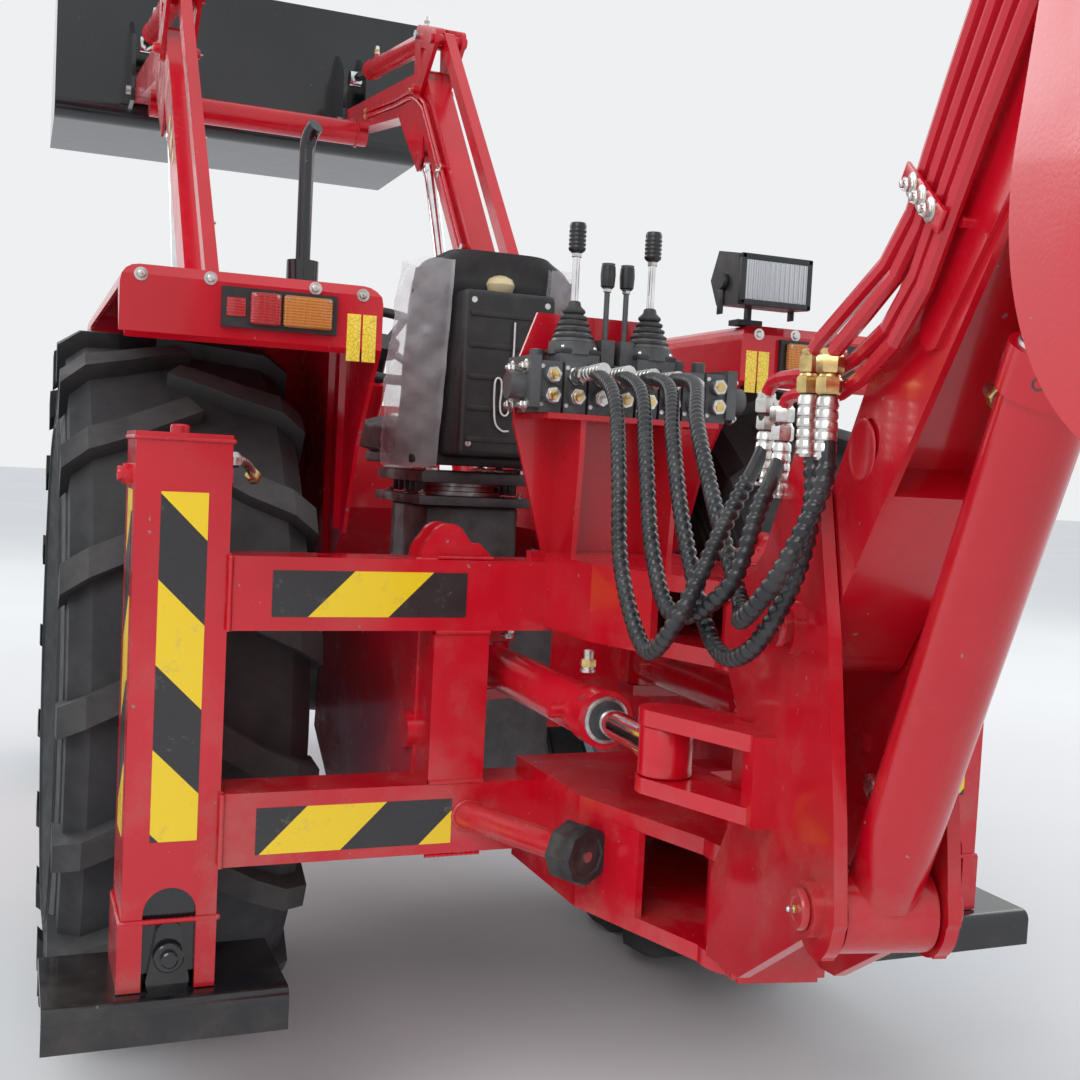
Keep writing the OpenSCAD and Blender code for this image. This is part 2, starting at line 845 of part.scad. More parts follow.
module loader_frame() {
    color(red)
        machine() {
            difference() {
                union() {
                    both_sides() {
                        for (y = [arm_y - arm_w / 2 - 17, arm_y + arm_w / 2 + 17])
                            slab(y, 24)
                                polygon([[tower_x0, 560], [tower_x0, 900], [tower_x0 - 50, 1200], [arm_pivot[0] - 70, 1400],
                                    [link_base[0] - 45, link_base[1] - 40], [link_base[0] - 40, link_base[1] + 35],
                                    [link_base[0] + 30, link_base[1] + 45], [arm_pivot[0] + 55, arm_pivot[1] + 60],
                                    [arm_pivot[0] + 70, 1300], [1040, 1000], [1230, 800], [1240, 700], [1130, 560]]);
                        block([tower_x0 + 20, arm_y - 65, 700], [tower_x0 + 40, arm_y + 65, 1180]);
                        block([tower_x0 + 30, 160 + seat_gap, 600], [tower_x1, arm_y + 60, 690]);
                        block([900, 232, 600], [tower_x1, 290, 760]);
                        block([900, 232, 700], [2561, 290, 830]);
                        block([2460, bolster_half + seat_gap, 700], [2540, 240, 830]);
                    }
                    block([2561, -330, 640], [bumper_face, 330, 900]);
                    for (z = [hitch_z - hitch_gap / 2 - hitch_t, hitch_z + hitch_gap / 2])
                        translate([0, 0, z])
                            linear_extrude(hitch_t)
                                bar2d([bumper_face + 10, 0], [hitch_x, 0], 90);
                }
                translate([hitch_x, 0, hitch_z - 60])
                    cylinder(h = 120, r = hitch_r);
                for (y = [-bolt_y, bolt_y], z = [hitch_z - bolt_z, hitch_z + bolt_z])
                    translate([2540, y, z])
                        rotate([0, 90, 0])
                            cylinder(h = 100, r = bolt_r);
                both_sides()
                    for (p = [arm_pivot, link_base, lift_base])
                        pin(p, pin_r + run, arm_y - 100, arm_y + 100);
            }
        }
}

module arm_outline() {
    taper2d(arm_pivot, knee, arm_root_r, arm_knee_r);
    taper2d(knee, arm_front, arm_knee_r, arm_tip_r);
    polygon([knee + [-60, -60], lift_eye + [-45, 10], lift_eye + [20, -40], knee + [330, -30], knee + [100, 80]]);
}

module loader_arms() {
    tube = arm_front + [-250, -110];
    color(red)
        machine() {
            both_sides()
                difference() {
                    union() {
                        slab(arm_y, arm_w)
                            arm_outline();
                        pin(arm_pivot, pin_r, arm_y - arm_w / 2 - 34, arm_y + arm_w / 2 + 34);
                        pin(knee, pin_r, arm_y - arm_w / 2 - 34, arm_y + arm_w / 2 + 34);
                    }
                    pin(arm_front, pin_r + run, arm_y - 100, arm_y + 100);
                    slab(arm_y, 72)
                        translate(lift_eye)
                            circle(95);
                }
            difference() {
                pin(tube, cross_tube_d / 2, -arm_y, arm_y);
                pin(tube, cross_tube_d / 2 - 8, -arm_y + 45, arm_y - 45);
            }
            both_sides()
                slab(arm_y - 20, 30)
                    taper2d(arm_front + [-250, -20], tube, 50, 40);
        }
}

plate_y = arm_w / 2 + side_gap + 8;

module level_links() {
    color(red)
        machine()
            both_sides()
                difference() {
                    slab(arm_y, 40)
                        bar2d(link_base, link_top, link_w);
                    for (p = [link_base, link_top])
                        pin(p, pin_r + run, arm_y - 100, arm_y + 100);
                }
}

module bellcranks() {
    color(red)
        machine()
            both_sides() {
                difference() {
                    for (s = [-1, 1])
                        slab(arm_y + s * plate_y, 16) {
                            taper2d(knee, link_top, 45, 42);
                            taper2d(knee, tilt_base, 45, 42);
                            taper2d(link_top, tilt_base, 42, 42);
                        }
                    pin(knee, pin_r + run, arm_y - 100, arm_y + 100);
                    pin(tilt_base, pin_r + run, arm_y - 100, arm_y + 100);
                }
                pin(link_top, pin_r, arm_y - plate_y - 20, arm_y + plate_y + 20);
            }
}

module bellcrank_pins() {
    color(steel)
        machine()
            both_sides()
                pin(tilt_base, pin_r, arm_y - plate_y - 22, arm_y + plate_y + 22);
}

module bucket_pins() {
    color(steel)
        machine()
            both_sides()
                pin(arm_front, pin_r, arm_y - 85, arm_y + 85);
}

lift_len = norm(lift_eye - lift_base);
tilt_len = norm(tilt_eye - tilt_base);
tilt_out = 341;

module lift_barrels() {
    color(red)
        machine()
            both_sides()
                along(lift_base, lift_eye, arm_y) {
                    barrel(1130, 48, 26, 48, 88, 100);
                    pin([0, 0], pin_r, -80, 80);
                }
}

module lift_rods() {
    color(steel)
        machine()
            both_sides()
                along(lift_base, lift_eye, arm_y)
                    rod(980, lift_len, 26, 42, 66);
}

module tilt_barrels() {
    color(red)
        machine()
            both_sides()
                along(tilt_base, tilt_eye, arm_y)
                    barrel(tilt_len - tilt_out, 42, 22, 44, 84, 100);
}

module tilt_rods() {
    color(steel)
        machine()
            both_sides()
                along(tilt_base, tilt_eye, arm_y)
                    rod(tilt_len - tilt_out - 300, tilt_len, 22, 38, 56);
}

// Loader bucket, its back at X = 0 and its floor at Z = 0
bucket_x = arm_front[0] + bucket_ahead;
bucket_z = arm_front[1] - bucket_drop;

module loader_profile() {
    polygon([[90, 0], [loader_floor, 0], [loader_floor - 60, 120], [420, loader_back - 40],
        [250, loader_back], [0, loader_back], [0, 90]]);
    translate([90, 90])
        circle(90);
}

module loader_inside() {
    polygon([[90, loader_t], [loader_floor + 60, loader_t], [loader_floor + 60, loader_back + 60],
        [250, loader_back + 60], [250, loader_back - loader_t], [loader_t, loader_back - loader_t], [loader_t, 90]]);
    translate([90, 90])
        circle(90 - loader_t);
}

module loader_bucket() {
    color(black)
        machine() {
            difference() {
                translate([bucket_x, 0, bucket_z])
                    slab(0, 2 * loader_half)
                        loader_profile();
                translate([bucket_x, 0, bucket_z])
                    slab(0, 2 * loader_half - 2 * loader_t)
                        loader_inside();
            }
            both_sides()
                difference() {
                    for (s = [-1, 1])
                        slab(arm_y + s * (plate_y + 2), 18)
                            polygon([arm_front + [-10, -48], arm_front + [-45, 0], arm_front + [-25, 60],
                                tilt_eye + [-42, 0], tilt_eye + [-30, 38], tilt_eye + [30, 45],
                                [bucket_x + 2, tilt_eye[1] + 150], [bucket_x + 2, arm_front[1] - 60]]);
                    pin(arm_front, pin_r + run, arm_y - 100, arm_y + 100);
                }
        }
}
// Hoe frame

beam_front = frame_rear - beam_d;
leg_in = leg_out - leg_w;
box_half = 152;
pin_plate_t = 25;
kingpost_r = 30;
hub_r = 58;
upper_hub = [upper_beam_z + 35, upper_beam_z + 110];
lower_hub = [lower_beam_z - 16, lower_beam_z + 118];

// Fork of two level plates that holds one of the tower's hubs between z0 and z1
module kingpin_fork(z0, z1) {
    for (z = [z0 - pin_plate_t - side_gap, z1 + side_gap])
        translate([0, 0, z])
            linear_extrude(pin_plate_t) {
                polygon([[-beam_front, -box_half], [-beam_front, box_half], [-1190, box_half],
                    [-swing_x + 10, 68], [-swing_x + 10, -68], [-1190, -box_half]]);
                translate([-swing_x, 0])
                    circle(70);
            }
    translate([-swing_x, 0, z0 - pin_plate_t - 12])
        cylinder(h = z1 - z0 + 2 * pin_plate_t + 24, r = kingpost_r);
    for (s = [-1, 1])
        translate([0, 0, z0 - side_gap - 0.5])
            linear_extrude(z1 - z0 + 2 * side_gap + 1)
                polygon([[-beam_front, s * box_half], [-1190, s * box_half], [-1330, s * 112],
                    [-1330, s * 100], [-1190, s * (box_half - 12)], [-beam_front, s * (box_half - 12)]]);
}

fork_top = upper_hub[1] + side_gap + pin_plate_t;
guard_x = -888;
stop_r = 24;

// Tray for the valve bank on two cheeks, with the guard plate in front of it
module valve_stand() {
    for (s = [-1, 1])
        slab(s * 96, 10)
            polygon([[guard_x - 96, fork_top - 1], [guard_x + 6, fork_top - 1], [guard_x + 6, tray_z - 2],
                [guard_x - 110, tray_z - 2], [guard_x - 110, tray_z - 60]]);
    block([guard_x - 122, -170, tray_z - 10], [guard_x + 2, 170, tray_z]);
    translate([guard_x, 0, 0])
        rotate([90, 0, 90])
            linear_extrude(8)
                polygon([[-120, fork_top - 1], [120, fork_top - 1], [186, tray_z - 20], [186, 1460], [150, 1557],
                    [-84, 1557], [-120, 1500]]);
}

module hoe_frame() {
    color(red)
        machine()
            difference() {
                union() {
                    for (z = [upper_beam_z, lower_beam_z])
                        block([-frame_rear, -leg_in, z], [-beam_front, leg_in, z + beam_h]);
                    both_sides() {
                        block([-frame_rear + 2, 252, lower_beam_z + 20], [-beam_front - 2, 352, upper_beam_z + 20]);
                        slab(345, 20)
                            polygon([[-beam_front - 10, lower_beam_z - 20], [-beam_front - 10, upper_beam_z + 80],
                                [-700, 1020], [-150, 900], [-100, 640], [-300, 520], [-700, 520]]);
                        block([-199, 200 + seat_gap, 640], [-128, 350, 880]);
                        // Front anchor of a swing cylinder
                        for (z = [swing_z - 45 - 20, swing_z + 45])
                            translate([0, 0, z])
                                linear_extrude(20)
                                    polygon([[-735, 130], [-735, 336], [-820, 336], [-820, 230], [-800, 130]]);
                    }
                    kingpin_fork(upper_hub[0], upper_hub[1]);
                    kingpin_fork(lower_hub[0], lower_hub[1]);
                    valve_stand();
                    // Two-plate lugs on the upper beam
                    both_sides() {
                        for (x = [-frame_rear + 12, -beam_front - 30])
                            translate([x, 0, 0])
                                rotate([90, 0, 90])
                                    linear_extrude(18) {
                                        taper2d([330, upper_beam_z + beam_h], [330, upper_beam_z + beam_h + 30], 50, 32);
                                        taper2d([272, upper_beam_z + beam_h - 4], [280, upper_beam_z + beam_h + 18], 22, 12);
                                    }
                        pin([-880, 793], 34, 330, 368);
                        // Bumper tube that ends in an eight-sided stop
                        translate([-frame_rear + 30, 290, 662])
                            rotate([0, 90, 180 + 22]) {
                                cylinder(h = 290, r = stop_r);
                                translate([0, 0, 280])
                                    cylinder(h = 42, r = 2 * stop_r, $fn = 8);
                            }
                    }
                }
                both_sides()
                    translate([-770, swing_foot[1], swing_z - 100])
                        cylinder(h = 200, r = pin_r + run);
            }
}

module leg_sleeves() {
    color(red)
        machine()
            both_sides() {
                difference() {
                    union() {
                        block([-frame_rear + 10, leg_in + seat_gap, leg_bottom + 110],
                            [-frame_rear + 10 + leg_d, leg_out, leg_top]);
                        block([-frame_rear + 5, leg_in + seat_gap, leg_bottom],
                            [-frame_rear + 15 + leg_d, leg_out + 5, leg_bottom + 112]);
                        block([-frame_rear + 8, leg_in + seat_gap, leg_top - 1],
                            [-frame_rear + 12 + leg_d, leg_out + 2, leg_top + 8]);
                        // Bosses of the leg cylinder's top pin
                        pin([-frame_rear + 10 + leg_d / 2, leg_top - 62], 17, leg_in - 12, leg_out + 13);
                    }
                    block([-frame_rear + 10 + leg_wall, leg_in + leg_wall, leg_bottom - 1],
                        [-frame_rear + 10 + leg_d - leg_wall, leg_out - leg_wall, leg_top - 20]);
                    // Round-topped cut-out for the pad's lug
                    translate([0, (leg_in + leg_out) / 2, 0]) {
                        block([-frame_rear - 10, -42, leg_bottom - 1], [-frame_rear + 30 + leg_d, 42, leg_bottom + 125]);
                        translate([-frame_rear - 10, 0, leg_bottom + 125])
                            rotate([0, 90, 0])
                                cylinder(h = leg_d + 40, r = 42);
                    }
                }
            }
}

pad_half = 192;
pad_x = 125;
pad_t = 10;
pad_bend = 20;
leg_play = 0.5;

module leg(s) {
    y0 = (leg_in + leg_out) / 2;
    x0 = -frame_rear + 10 + leg_wall + leg_play;
    x1 = -frame_rear + 10 + leg_d - leg_wall - leg_play;
    xm = (x0 + x1) / 2;
    color(black)
        machine()
            side(s) {
                block([x0, leg_in + leg_wall + leg_play, leg_bottom + 25],
                    [x1, leg_out - leg_wall - leg_play, leg_top - 60]);
                // Folded pad with round bends
                slab(y0, 2 * pad_half)
                    difference() {
                        union() {
                            translate([xm - pad_x, leg_bottom - 72])
                                square([2 * pad_x, 70 - pad_bend]);
                            translate([xm - pad_x + pad_bend, leg_bottom - 72])
                                square([2 * (pad_x - pad_bend), 70]);
                            for (x = [-pad_x + pad_bend, pad_x - pad_bend])
                                translate([xm + x, leg_bottom - 2 - pad_bend])
                                    circle(pad_bend + 0.3);
                        }
                        translate([xm - pad_x + pad_t, leg_bottom - 80])
                            square([2 * (pad_x - pad_t), 68]);
                    }
                block([xm - 50, y0 - 50, leg_bottom - 6], [xm + 50, y0 + 50, leg_bottom + 40]);
                // Lugs in the sleeve's cut-outs, with their pin
                for (x = [-frame_rear + 8, -frame_rear - 2 + leg_d])
                    translate([x, 0, 0])
                        rotate([90, 0, 90])
                            linear_extrude(14)
                                taper2d([y0, leg_bottom + 14], [y0, leg_bottom + 92], 34, 20);
                translate([-frame_rear - 6, y0, leg_bottom + 56])
                    rotate([0, 90, 0])
                        cylinder(h = leg_d + 32, r = 10);
            }
}

tray_z = 1372;
valve_x = [-1002, -900];
valve_half = 188;
valve_sections = 8;
section_gap = 5;
section_top = 1462;
joystick_y = [-43, 108];
short_lever_y = [8, 46];

// Bank of valve sections on its tray: port bosses, spool caps, two joysticks on boots and two short levers
module valve_bank() {
    pitch = 2 * valve_half / valve_sections;
    mid = (valve_x[0] + valve_x[1]) / 2;
    color(grey)
        machine() {
            block([valve_x[0] + 8, -valve_half + 4, tray_z + seat_gap + 12], [valve_x[1] - 8, valve_half - 4, section_top - 6]);
            for (i = [0 : valve_sections - 1]) {
                y = -valve_half + (i + 0.5) * pitch;
                thick = pitch - section_gap;
                block([valve_x[0], y - thick / 2, tray_z + seat_gap], [valve_x[1], y + thick / 2, section_top]);
                // Ports for the hoses at the back, spool cap on top
                for (z = [tray_z + 30, section_top - 24])
                    translate([valve_x[0] - 16, y, z])
                        rotate([0, 90, 0])
                            cylinder(h = 20, r = 15);
                translate([mid + 22, y, section_top - 2])
                    cylinder(h = 26, r = 13);
            }
            // End covers with their relief valves
            for (s = [-1, 1]) {
                block([valve_x[0] - 5, s > 0 ? valve_half - 3 : -valve_half - 17, tray_z + 8],
                    [valve_x[1] + 5, s > 0 ? valve_half + 17 : -valve_half + 3, section_top + 8]);
                pin([mid - 20, tray_z + 45], 24, s > 0 ? valve_half + 16 : -valve_half - 46,
                    s > 0 ? valve_half + 46 : -valve_half - 16);
            }
            for (y = joystick_y)
                translate([mid - 5, y, section_top - 1]) {
                    translate([-38, -38, 0])
                        cube([76, 76, 18]);
                    translate([0, 0, 17])
                        cylinder(h = 22, r = 43);
                    translate([0, 0, 38])
                        cylinder(h = 58, r1 = 40, r2 = 14);
                    cylinder(h = 205, r = 6);
                    translate([0, 0, 200])
                        cylinder(h = 52, r1 = 11, r2 = 13);
                }
            for (y = short_lever_y)
                translate([mid - 8, y, section_top - 1]) {
                    translate([-16, -13, 0])
                        cube([32, 26, 48]);
                    cylinder(h = 150, r = 5);
                    translate([0, 0, 142])
                        cylinder(h = 44, r1 = 10, r2 = 12);
                }
        }
}
// Swing tower and its cylinders

plate_mid = tower_gap / 2 + tower_t / 2;

module tower_outline() {
    difference() {
        union() {
            polygon([[60, lower_hub[0] + 6], [60, lower_hub[1] - 6], [120, 790], [130, 960], [60, upper_hub[0] + 6],
                [60, upper_hub[1] - 6], [200, 1180], [290, 1310], [365, 1296], [430, 1100], [478, 900],
                boom_cyl_foot + [60, 0], boom_cyl_foot + [30, -50], boom_cyl_foot + [-30, -48], [200, 610]]);
            translate(boom_cyl_foot)
                circle(56);
            translate([325, 1290])
                circle(42);
        }
    }
}

module swing_tower() {
    color(red)
        hoe()
            difference() {
                union() {
                    for (s = [-1, 1])
                        slab(s * plate_mid, tower_t)
                            tower_outline();
                    for (h = [upper_hub, lower_hub]) {
                        translate([0, 0, h[0]])
                            cylinder(h = h[1] - h[0], r = hub_r);
                        block([0, -hub_r, h[0]], [150, hub_r, h[1]]);
                        block([60, -plate_mid, h[0] + 6], [150, plate_mid, h[1] - 6]);
                    }
                    block([130, -plate_mid, lower_hub[0] + 8], [150, plate_mid, upper_hub[1] - 8]);
                    for (s = [-1, 1]) {
                        pin(foot, 34, s * (plate_mid + 8) - 8, s * (plate_mid + 8) + 8);
                            pin(boom_cyl_foot, 32, s * (plate_mid + 10) - 10, s * (plate_mid + 10) + 10);
                        // Two level ears for a swing rod's eye
                        for (z = [swing_z - 58, swing_z + 36])
                            translate([0, 0, z])
                                linear_extrude(22) {
                                    taper2d([swing_eye_r, s * swing_eye_y], [250, s * 85], 40, 30);
                                    taper2d([swing_eye_r, s * swing_eye_y], [150, s * 70], 40, 10);
                                }
                        block([250, s > 0 ? 70 : -105, swing_z - 58], [290, s > 0 ? 105 : -70, swing_z + 58]);
                    }
                    pin(foot, pin_r, -plate_mid - 22, plate_mid + 22);
                    pin(boom_cyl_foot, pin_r, -plate_mid - 22, plate_mid + 22);
                }
                translate([0, 0, 400])
                    cylinder(h = 900, r = kingpost_r + run);
            }
}

swing_eye = [-swing_eye_r, swing_eye_y];
function swung(p) = turned(p, -swing_rest);
swing_eye_left = swung(swing_eye);
swing_eye_right = swung([-swing_eye_r, -swing_eye_y]);
swing_foot_right = [swing_foot[0], -swing_foot[1]];

// Places children so that X runs from the point a toward b, in the XY plane at the swing cylinders' height
module swing_line(a, b) {
    machine()
        translate([-swing_x + a[0], a[1], swing_z])
            rotate([0, 0, angle_of(b - a)])
                rotate([90, 0, 0])
                    children();
}

module swing_barrel(a, b) {
    color(red)
        swing_line(a, b) {
            barrel(560, 40, 22, 38, 88, 95);
            pin([0, 0], pin_r, -70, 70);
        }
}

module swing_rod(a, b) {
    color(steel)
        swing_line(a, b)
            rod(345, norm(b - a), 22, 36, 68);
}

pipe_r = 9;
pipe_y = 80;
saddle_at = [560, 800];
manifold_at = 1010;
block_at = manifold_at + 24.6;
pipe_in = pipe_y - pipe_r - seat_gap;
// Free ends of the pipes, each point [out from the pivot, left, up], and the line that each keeps on the boom
pipe_ends = [
    [[185, 80, 1362], [185, 80, 1380], [212, 80, 1403], [300, 80, 1405], [430, 80, 1405]],
    [[248, 80, 1348], [248, 80, 1362], [272, 80, 1380], [350, 80, 1381], [450, 80, 1381]],
    [[398, 104, 1400], [398, 104, 1418], [428, 102, 1442]],
    [[454, 104, 1396], [454, 104, 1414], [486, 100, 1436]]];
pipe_share = [0.12, -0.2, 0.84, 0.48];

function boom_half(a) = foot_half + (knee_half - foot_half) * a / boom_len_a;
function on_boom(a, share) =
    let (p = foot + a * boom_dir + share * boom_half(a) * boom_up)
    [p[0], pipe_y, p[1]];
function on_boom2d(a, share) = foot + a * boom_dir + share * boom_half(a) * boom_up;
function pipe_route(i) = concat(pipe_ends[i],
    [for (a = [i < 2 ? 450 : 490, 620, saddle_at[1], 900, manifold_at - 30, manifold_at])
        on_boom(a, pipe_share[i])]);

// Four steel pipes along the left side of the boom, from the hoses to the block below the bend
module boom_pipes() {
    color(red)
        hoe()
            for (i = [0 : 3])
                tube(pipe_route(i), pipe_r, 0, len(pipe_route(i)) - 1, 2 * len(pipe_route(i)));
}

hose_r = 11;
hose_ports = [6, 5, 4, 3];
hose_split = 5;
// Routes of the four hoses between their ports and the pipes
hose_mids = [
    [[-1240, 152, 1392], [-1372, 200, 1280], [-1452, 226, 1140], [-1560, 236, 1040], [-1650, 238, 1092],
        [-1656, 176, 1225]],
    [[-1255, 112, 1400], [-1395, 168, 1300], [-1490, 198, 1170], [-1590, 212, 1090], [-1700, 196, 1138],
        [-1716, 168, 1240]],
    [[-1260, 66, 1412], [-1400, 128, 1330], [-1520, 166, 1200], [-1640, 180, 1062], [-1760, 198, 1066],
        [-1830, 186, 1160], [-1842, 174, 1260]],
    [[-1270, 26, 1420], [-1420, 100, 1352], [-1550, 138, 1240], [-1670, 160, 1120], [-1800, 232, 1112],
        [-1880, 232, 1180], [-1898, 200, 1275]]];

function hose_route(i) =
    let (y = (hose_ports[i] + 0.5 - valve_sections / 2) * 2 * valve_half / valve_sections,
        x = valve_x[0] - 16, z = section_top - 24,
        top = pipe_ends[i][0],
        e = turned([-top[0], top[1]], -swing_rest),
        end = [e[0] - swing_x, e[1], top[2] - seat_gap])
    concat([[x, y, z], [x - 72, y, z]], hose_mids[i], [end - [0, 0, 45], end]);

// Hoses from the valve bank to the low point of their loop, and on up to the pipes
module hoe_hoses_lower() {
    color(black)
        machine()
            for (i = [0 : 3])
                tube(hose_route(i), hose_r, 0, hose_split, 11);
}

module hoe_hoses_upper() {
    color(black)
        machine()
            for (i = [0 : 3])
                tube(hose_route(i), hose_r, hose_split + 0.005, len(hose_route(i)) - 1, 9);
}

// Boom

knee_half = 102;
foot_half = 52;
fork_t = 22;

module boom_outline() {
    taper2d(foot, boom_knee, foot_half, knee_half);
    taper2d(boom_knee, tip, knee_half, 70);
}

module boom() {
    color(red)
        hoe()
            difference() {
                union() {
                    slab(0, boom_w) {
                        boom_outline();
                        taper2d(dipper_cyl_foot, boom_knee, 45, 80);
                    }
                    // Doubler plates with a finger end
                    slab(0, boom_w + 12)
                        taper2d(foot + 450 * boom_dir - 30 * boom_up, boom_cyl_eye, 24, 52);
                    // Saddles below the pipes and the block that they end in
                    for (a = saddle_at)
                        slab((boom_w / 2 + pipe_in - 1) / 2, pipe_in - boom_w / 2 + 1)
                            bar2d(on_boom2d(a, -0.3), on_boom2d(a, 0.96), 11);
                    slab((boom_w / 2 + pipe_y + 14) / 2, pipe_y + 16 - boom_w / 2)
                        bar2d(on_boom2d(block_at, -0.3), on_boom2d(block_at, 0.96), 24);
                    // Fork that holds the dipper
                    for (s = [-1, 1])
                        slab(s * (dipper_w / 2 + side_gap + fork_t / 2), fork_t)
                            taper2d(tip, tip - 420 * tip_dir, 68, 45);
                }
                // Room for the boom cylinder in the underside
                slab(0, boom_w - 2 * boom_t)
                    polygon([foot + 260 * boom_dir - 10 * boom_up, foot + 850 * boom_dir + 35 * boom_up,
                        foot + 1080 * boom_dir + 35 * boom_up, foot + 1080 * boom_dir - 200 * boom_up,
                        foot + 260 * boom_dir - 200 * boom_up]);
                slab(0, 92)
                    translate(dipper_cyl_foot)
                        circle(95);
                pin(foot, pin_r + run, -100, 100);
                pin(dipper_cyl_foot, pin_r + run, -100, 100);
                for (s = [-1, 1])
                    pin(foot + 275 * boom_dir + 15 * boom_up, 26, s * (boom_w / 2 + 3) - 6, s * (boom_w / 2 + 3) + 6);
                slab(0, dipper_w + 2 * side_gap) {
                    translate(tip)
                        circle(100);
                    polygon([tip + 200 * tip_dir + [0, 200], tip - 290 * tip_dir + [0, 260],
                        tip - 290 * tip_dir, tip - 240 * tip_dir - [0, 160], tip + 200 * tip_dir - [0, 200]]);
                }
            }
    color(red)
        hoe()
            pin(tip, pin_r + 4, -dipper_w / 2 - 35, dipper_w / 2 + 35);
}

boom_cyl_len = norm(boom_cyl_eye - boom_cyl_foot);

module boom_barrel() {
    color(red)
        hoe()
            along(boom_cyl_foot, boom_cyl_eye)
                barrel(690, 43, 25, 50, 110, 110);
}

module boom_rod() {
    color(steel)
        hoe()
            along(boom_cyl_foot, boom_cyl_eye)
                rod(500, boom_cyl_len, 25, 42, 92);
}

// Dipper

module dipper() {
    rp = rocker_pin;
    color(red)
        hoe()
            difference() {
                union() {
                    slab(0, dipper_w) {
                        taper2d(tip, bucket_pin, 85, 48);
                        taper2d(tip, horn_eye, 85, 45);
                        taper2d(tip + 60 * dipper_dir + 60 * dipper_out, curl_foot, 60, 42);
                    }
                }
                for (p = [bucket_pin, curl_foot, rp])
                    pin(p, pin_r + run, -100, 100);
                pin(tip, pin_r + 4 + run, -100, 100);
                slab(0, 80)
                    bar2d(horn_eye, tip - 190 * dipper_dir, 190);
                slab(0, 80)
                    translate(curl_foot)
                        circle(60);
                pin(horn_eye, pin_r + run, -100, 100);
            }
}

dipper_cyl_len = norm(horn_eye - dipper_cyl_foot);
curl_cyl_len = norm(rocker_eye - curl_foot);

module dipper_barrel() {
    color(red)
        hoe()
            along(dipper_cyl_foot, horn_eye) {
                barrel(730, 42, 24, 42, 90, 100);
                pin([0, 0], pin_r, -75, 75);
            }
}

module dipper_rod() {
    color(steel)
        hoe()
            along(dipper_cyl_foot, horn_eye)
                rod(640, dipper_cyl_len, 24, 38, 76);
}

module curl_barrel() {
    color(red)
        hoe()
            along(curl_foot, rocker_eye) {
                barrel(655, 38, 22, 40, 70, 100);
                pin([0, 0], pin_r, -70, 70);
            }
}

module curl_rod() {
    color(steel)
        hoe()
            along(curl_foot, rocker_eye)
                rod(570, curl_cyl_len, 22, 36, 56);
}

rocker_y = dipper_w / 2 + side_gap + 8;

module rocker() {
    color(red)
        hoe() {
            difference() {
                for (s = [-1, 1])
                    slab(s * rocker_y, 16)
                        bar2d(rocker_pin, rocker_eye, 76);
                pin(rocker_eye, pin_r + run, -100, 100);
            }
            pin(rocker_pin, pin_r, -rocker_y - 20, rocker_y + 20);
        }
}

module bucket_link() {
    color(red)
        hoe() {
            difference() {
                for (s = [-1, 1])
                    slab(s * (rocker_y + 17), 16)
                        bar2d(rocker_eye, bucket_link_pin, 76);
            }
            for (s = [-1, 1]) {
                pin(rocker_eye, pin_r, s > 0 ? 36 : -rocker_y - 40, s > 0 ? rocker_y + 40 : -36);
                pin(bucket_link_pin, 27, s > 0 ? rocker_y + 24 : -rocker_y - 34, s > 0 ? rocker_y + 34 : -rocker_y - 24);
            }
        }
}

// Hoe bucket, its outline as points [u, v] from the bucket pin
heel = [330, -80];
shell_t = 10;
lip_u = 538;
lip_v = 296;
tooth_len = 64;
bucket_back = 62;

module bucket_side2d(t) {
    polygon([in_bucket([bucket_back + t, 10]), in_bucket([bucket_back + t, heel[1] - heel_r + t]),
        in_bucket([heel[0], heel[1] - heel_r + t]), in_bucket([heel[0], heel[1]]),
        in_bucket([heel[0] + heel_r - t, heel[1]]), in_bucket([lip_u - t, lip_v]), in_bucket([300, 215])]);
    translate(in_bucket(heel))
        circle(heel_r - t);
}

module hoe_bucket() {
    ear_y = dipper_w / 2 + side_gap + 8;
    color(red)
        hoe() {
            difference() {
                slab(0, hoe_bucket_w)
                    bucket_side2d(0);
                slab(0, hoe_bucket_w - 2 * shell_t) {
                    bucket_side2d(shell_t);
                    polygon([in_bucket([bucket_back + shell_t, -10]), in_bucket([300, 150]), in_bucket([lip_u - 10, lip_v - 10]),
                        in_bucket([535, 420]), in_bucket([200, 420]), in_bucket([bucket_back + shell_t, 100])]);
                }
            }
            for (s = [-1, 1])
                slab(s * ear_y, 16) {
                    polygon([in_bucket([bucket_back + 4, 10]), in_bucket([10, 44]), in_bucket([-44, 0]),
                        in_bucket([-62, -190]), in_bucket([-40, -235]), in_bucket([bucket_back + 4, -240])]);
                    translate(bucket_pin)
                        circle(45);
                    translate(bucket_link_pin)
                        circle(38);
                }
            pin(bucket_pin, pin_r, -ear_y - 22, ear_y + 22);
            pin(bucket_link_pin, pin_r, -ear_y, ear_y);
            for (i = [0 : hoe_teeth - 1])
                slab(-hoe_bucket_w / 2 + 35 + i * (hoe_bucket_w - 70) / (hoe_teeth - 1), 50)
                    polygon([in_bucket([lip_u - 45, lip_v - 30]), in_bucket([lip_u + 3, lip_v - 30]),
                        in_bucket([lip_u + 7, lip_v + tooth_len]), in_bucket([lip_u, lip_v + tooth_len])]);
        }
}

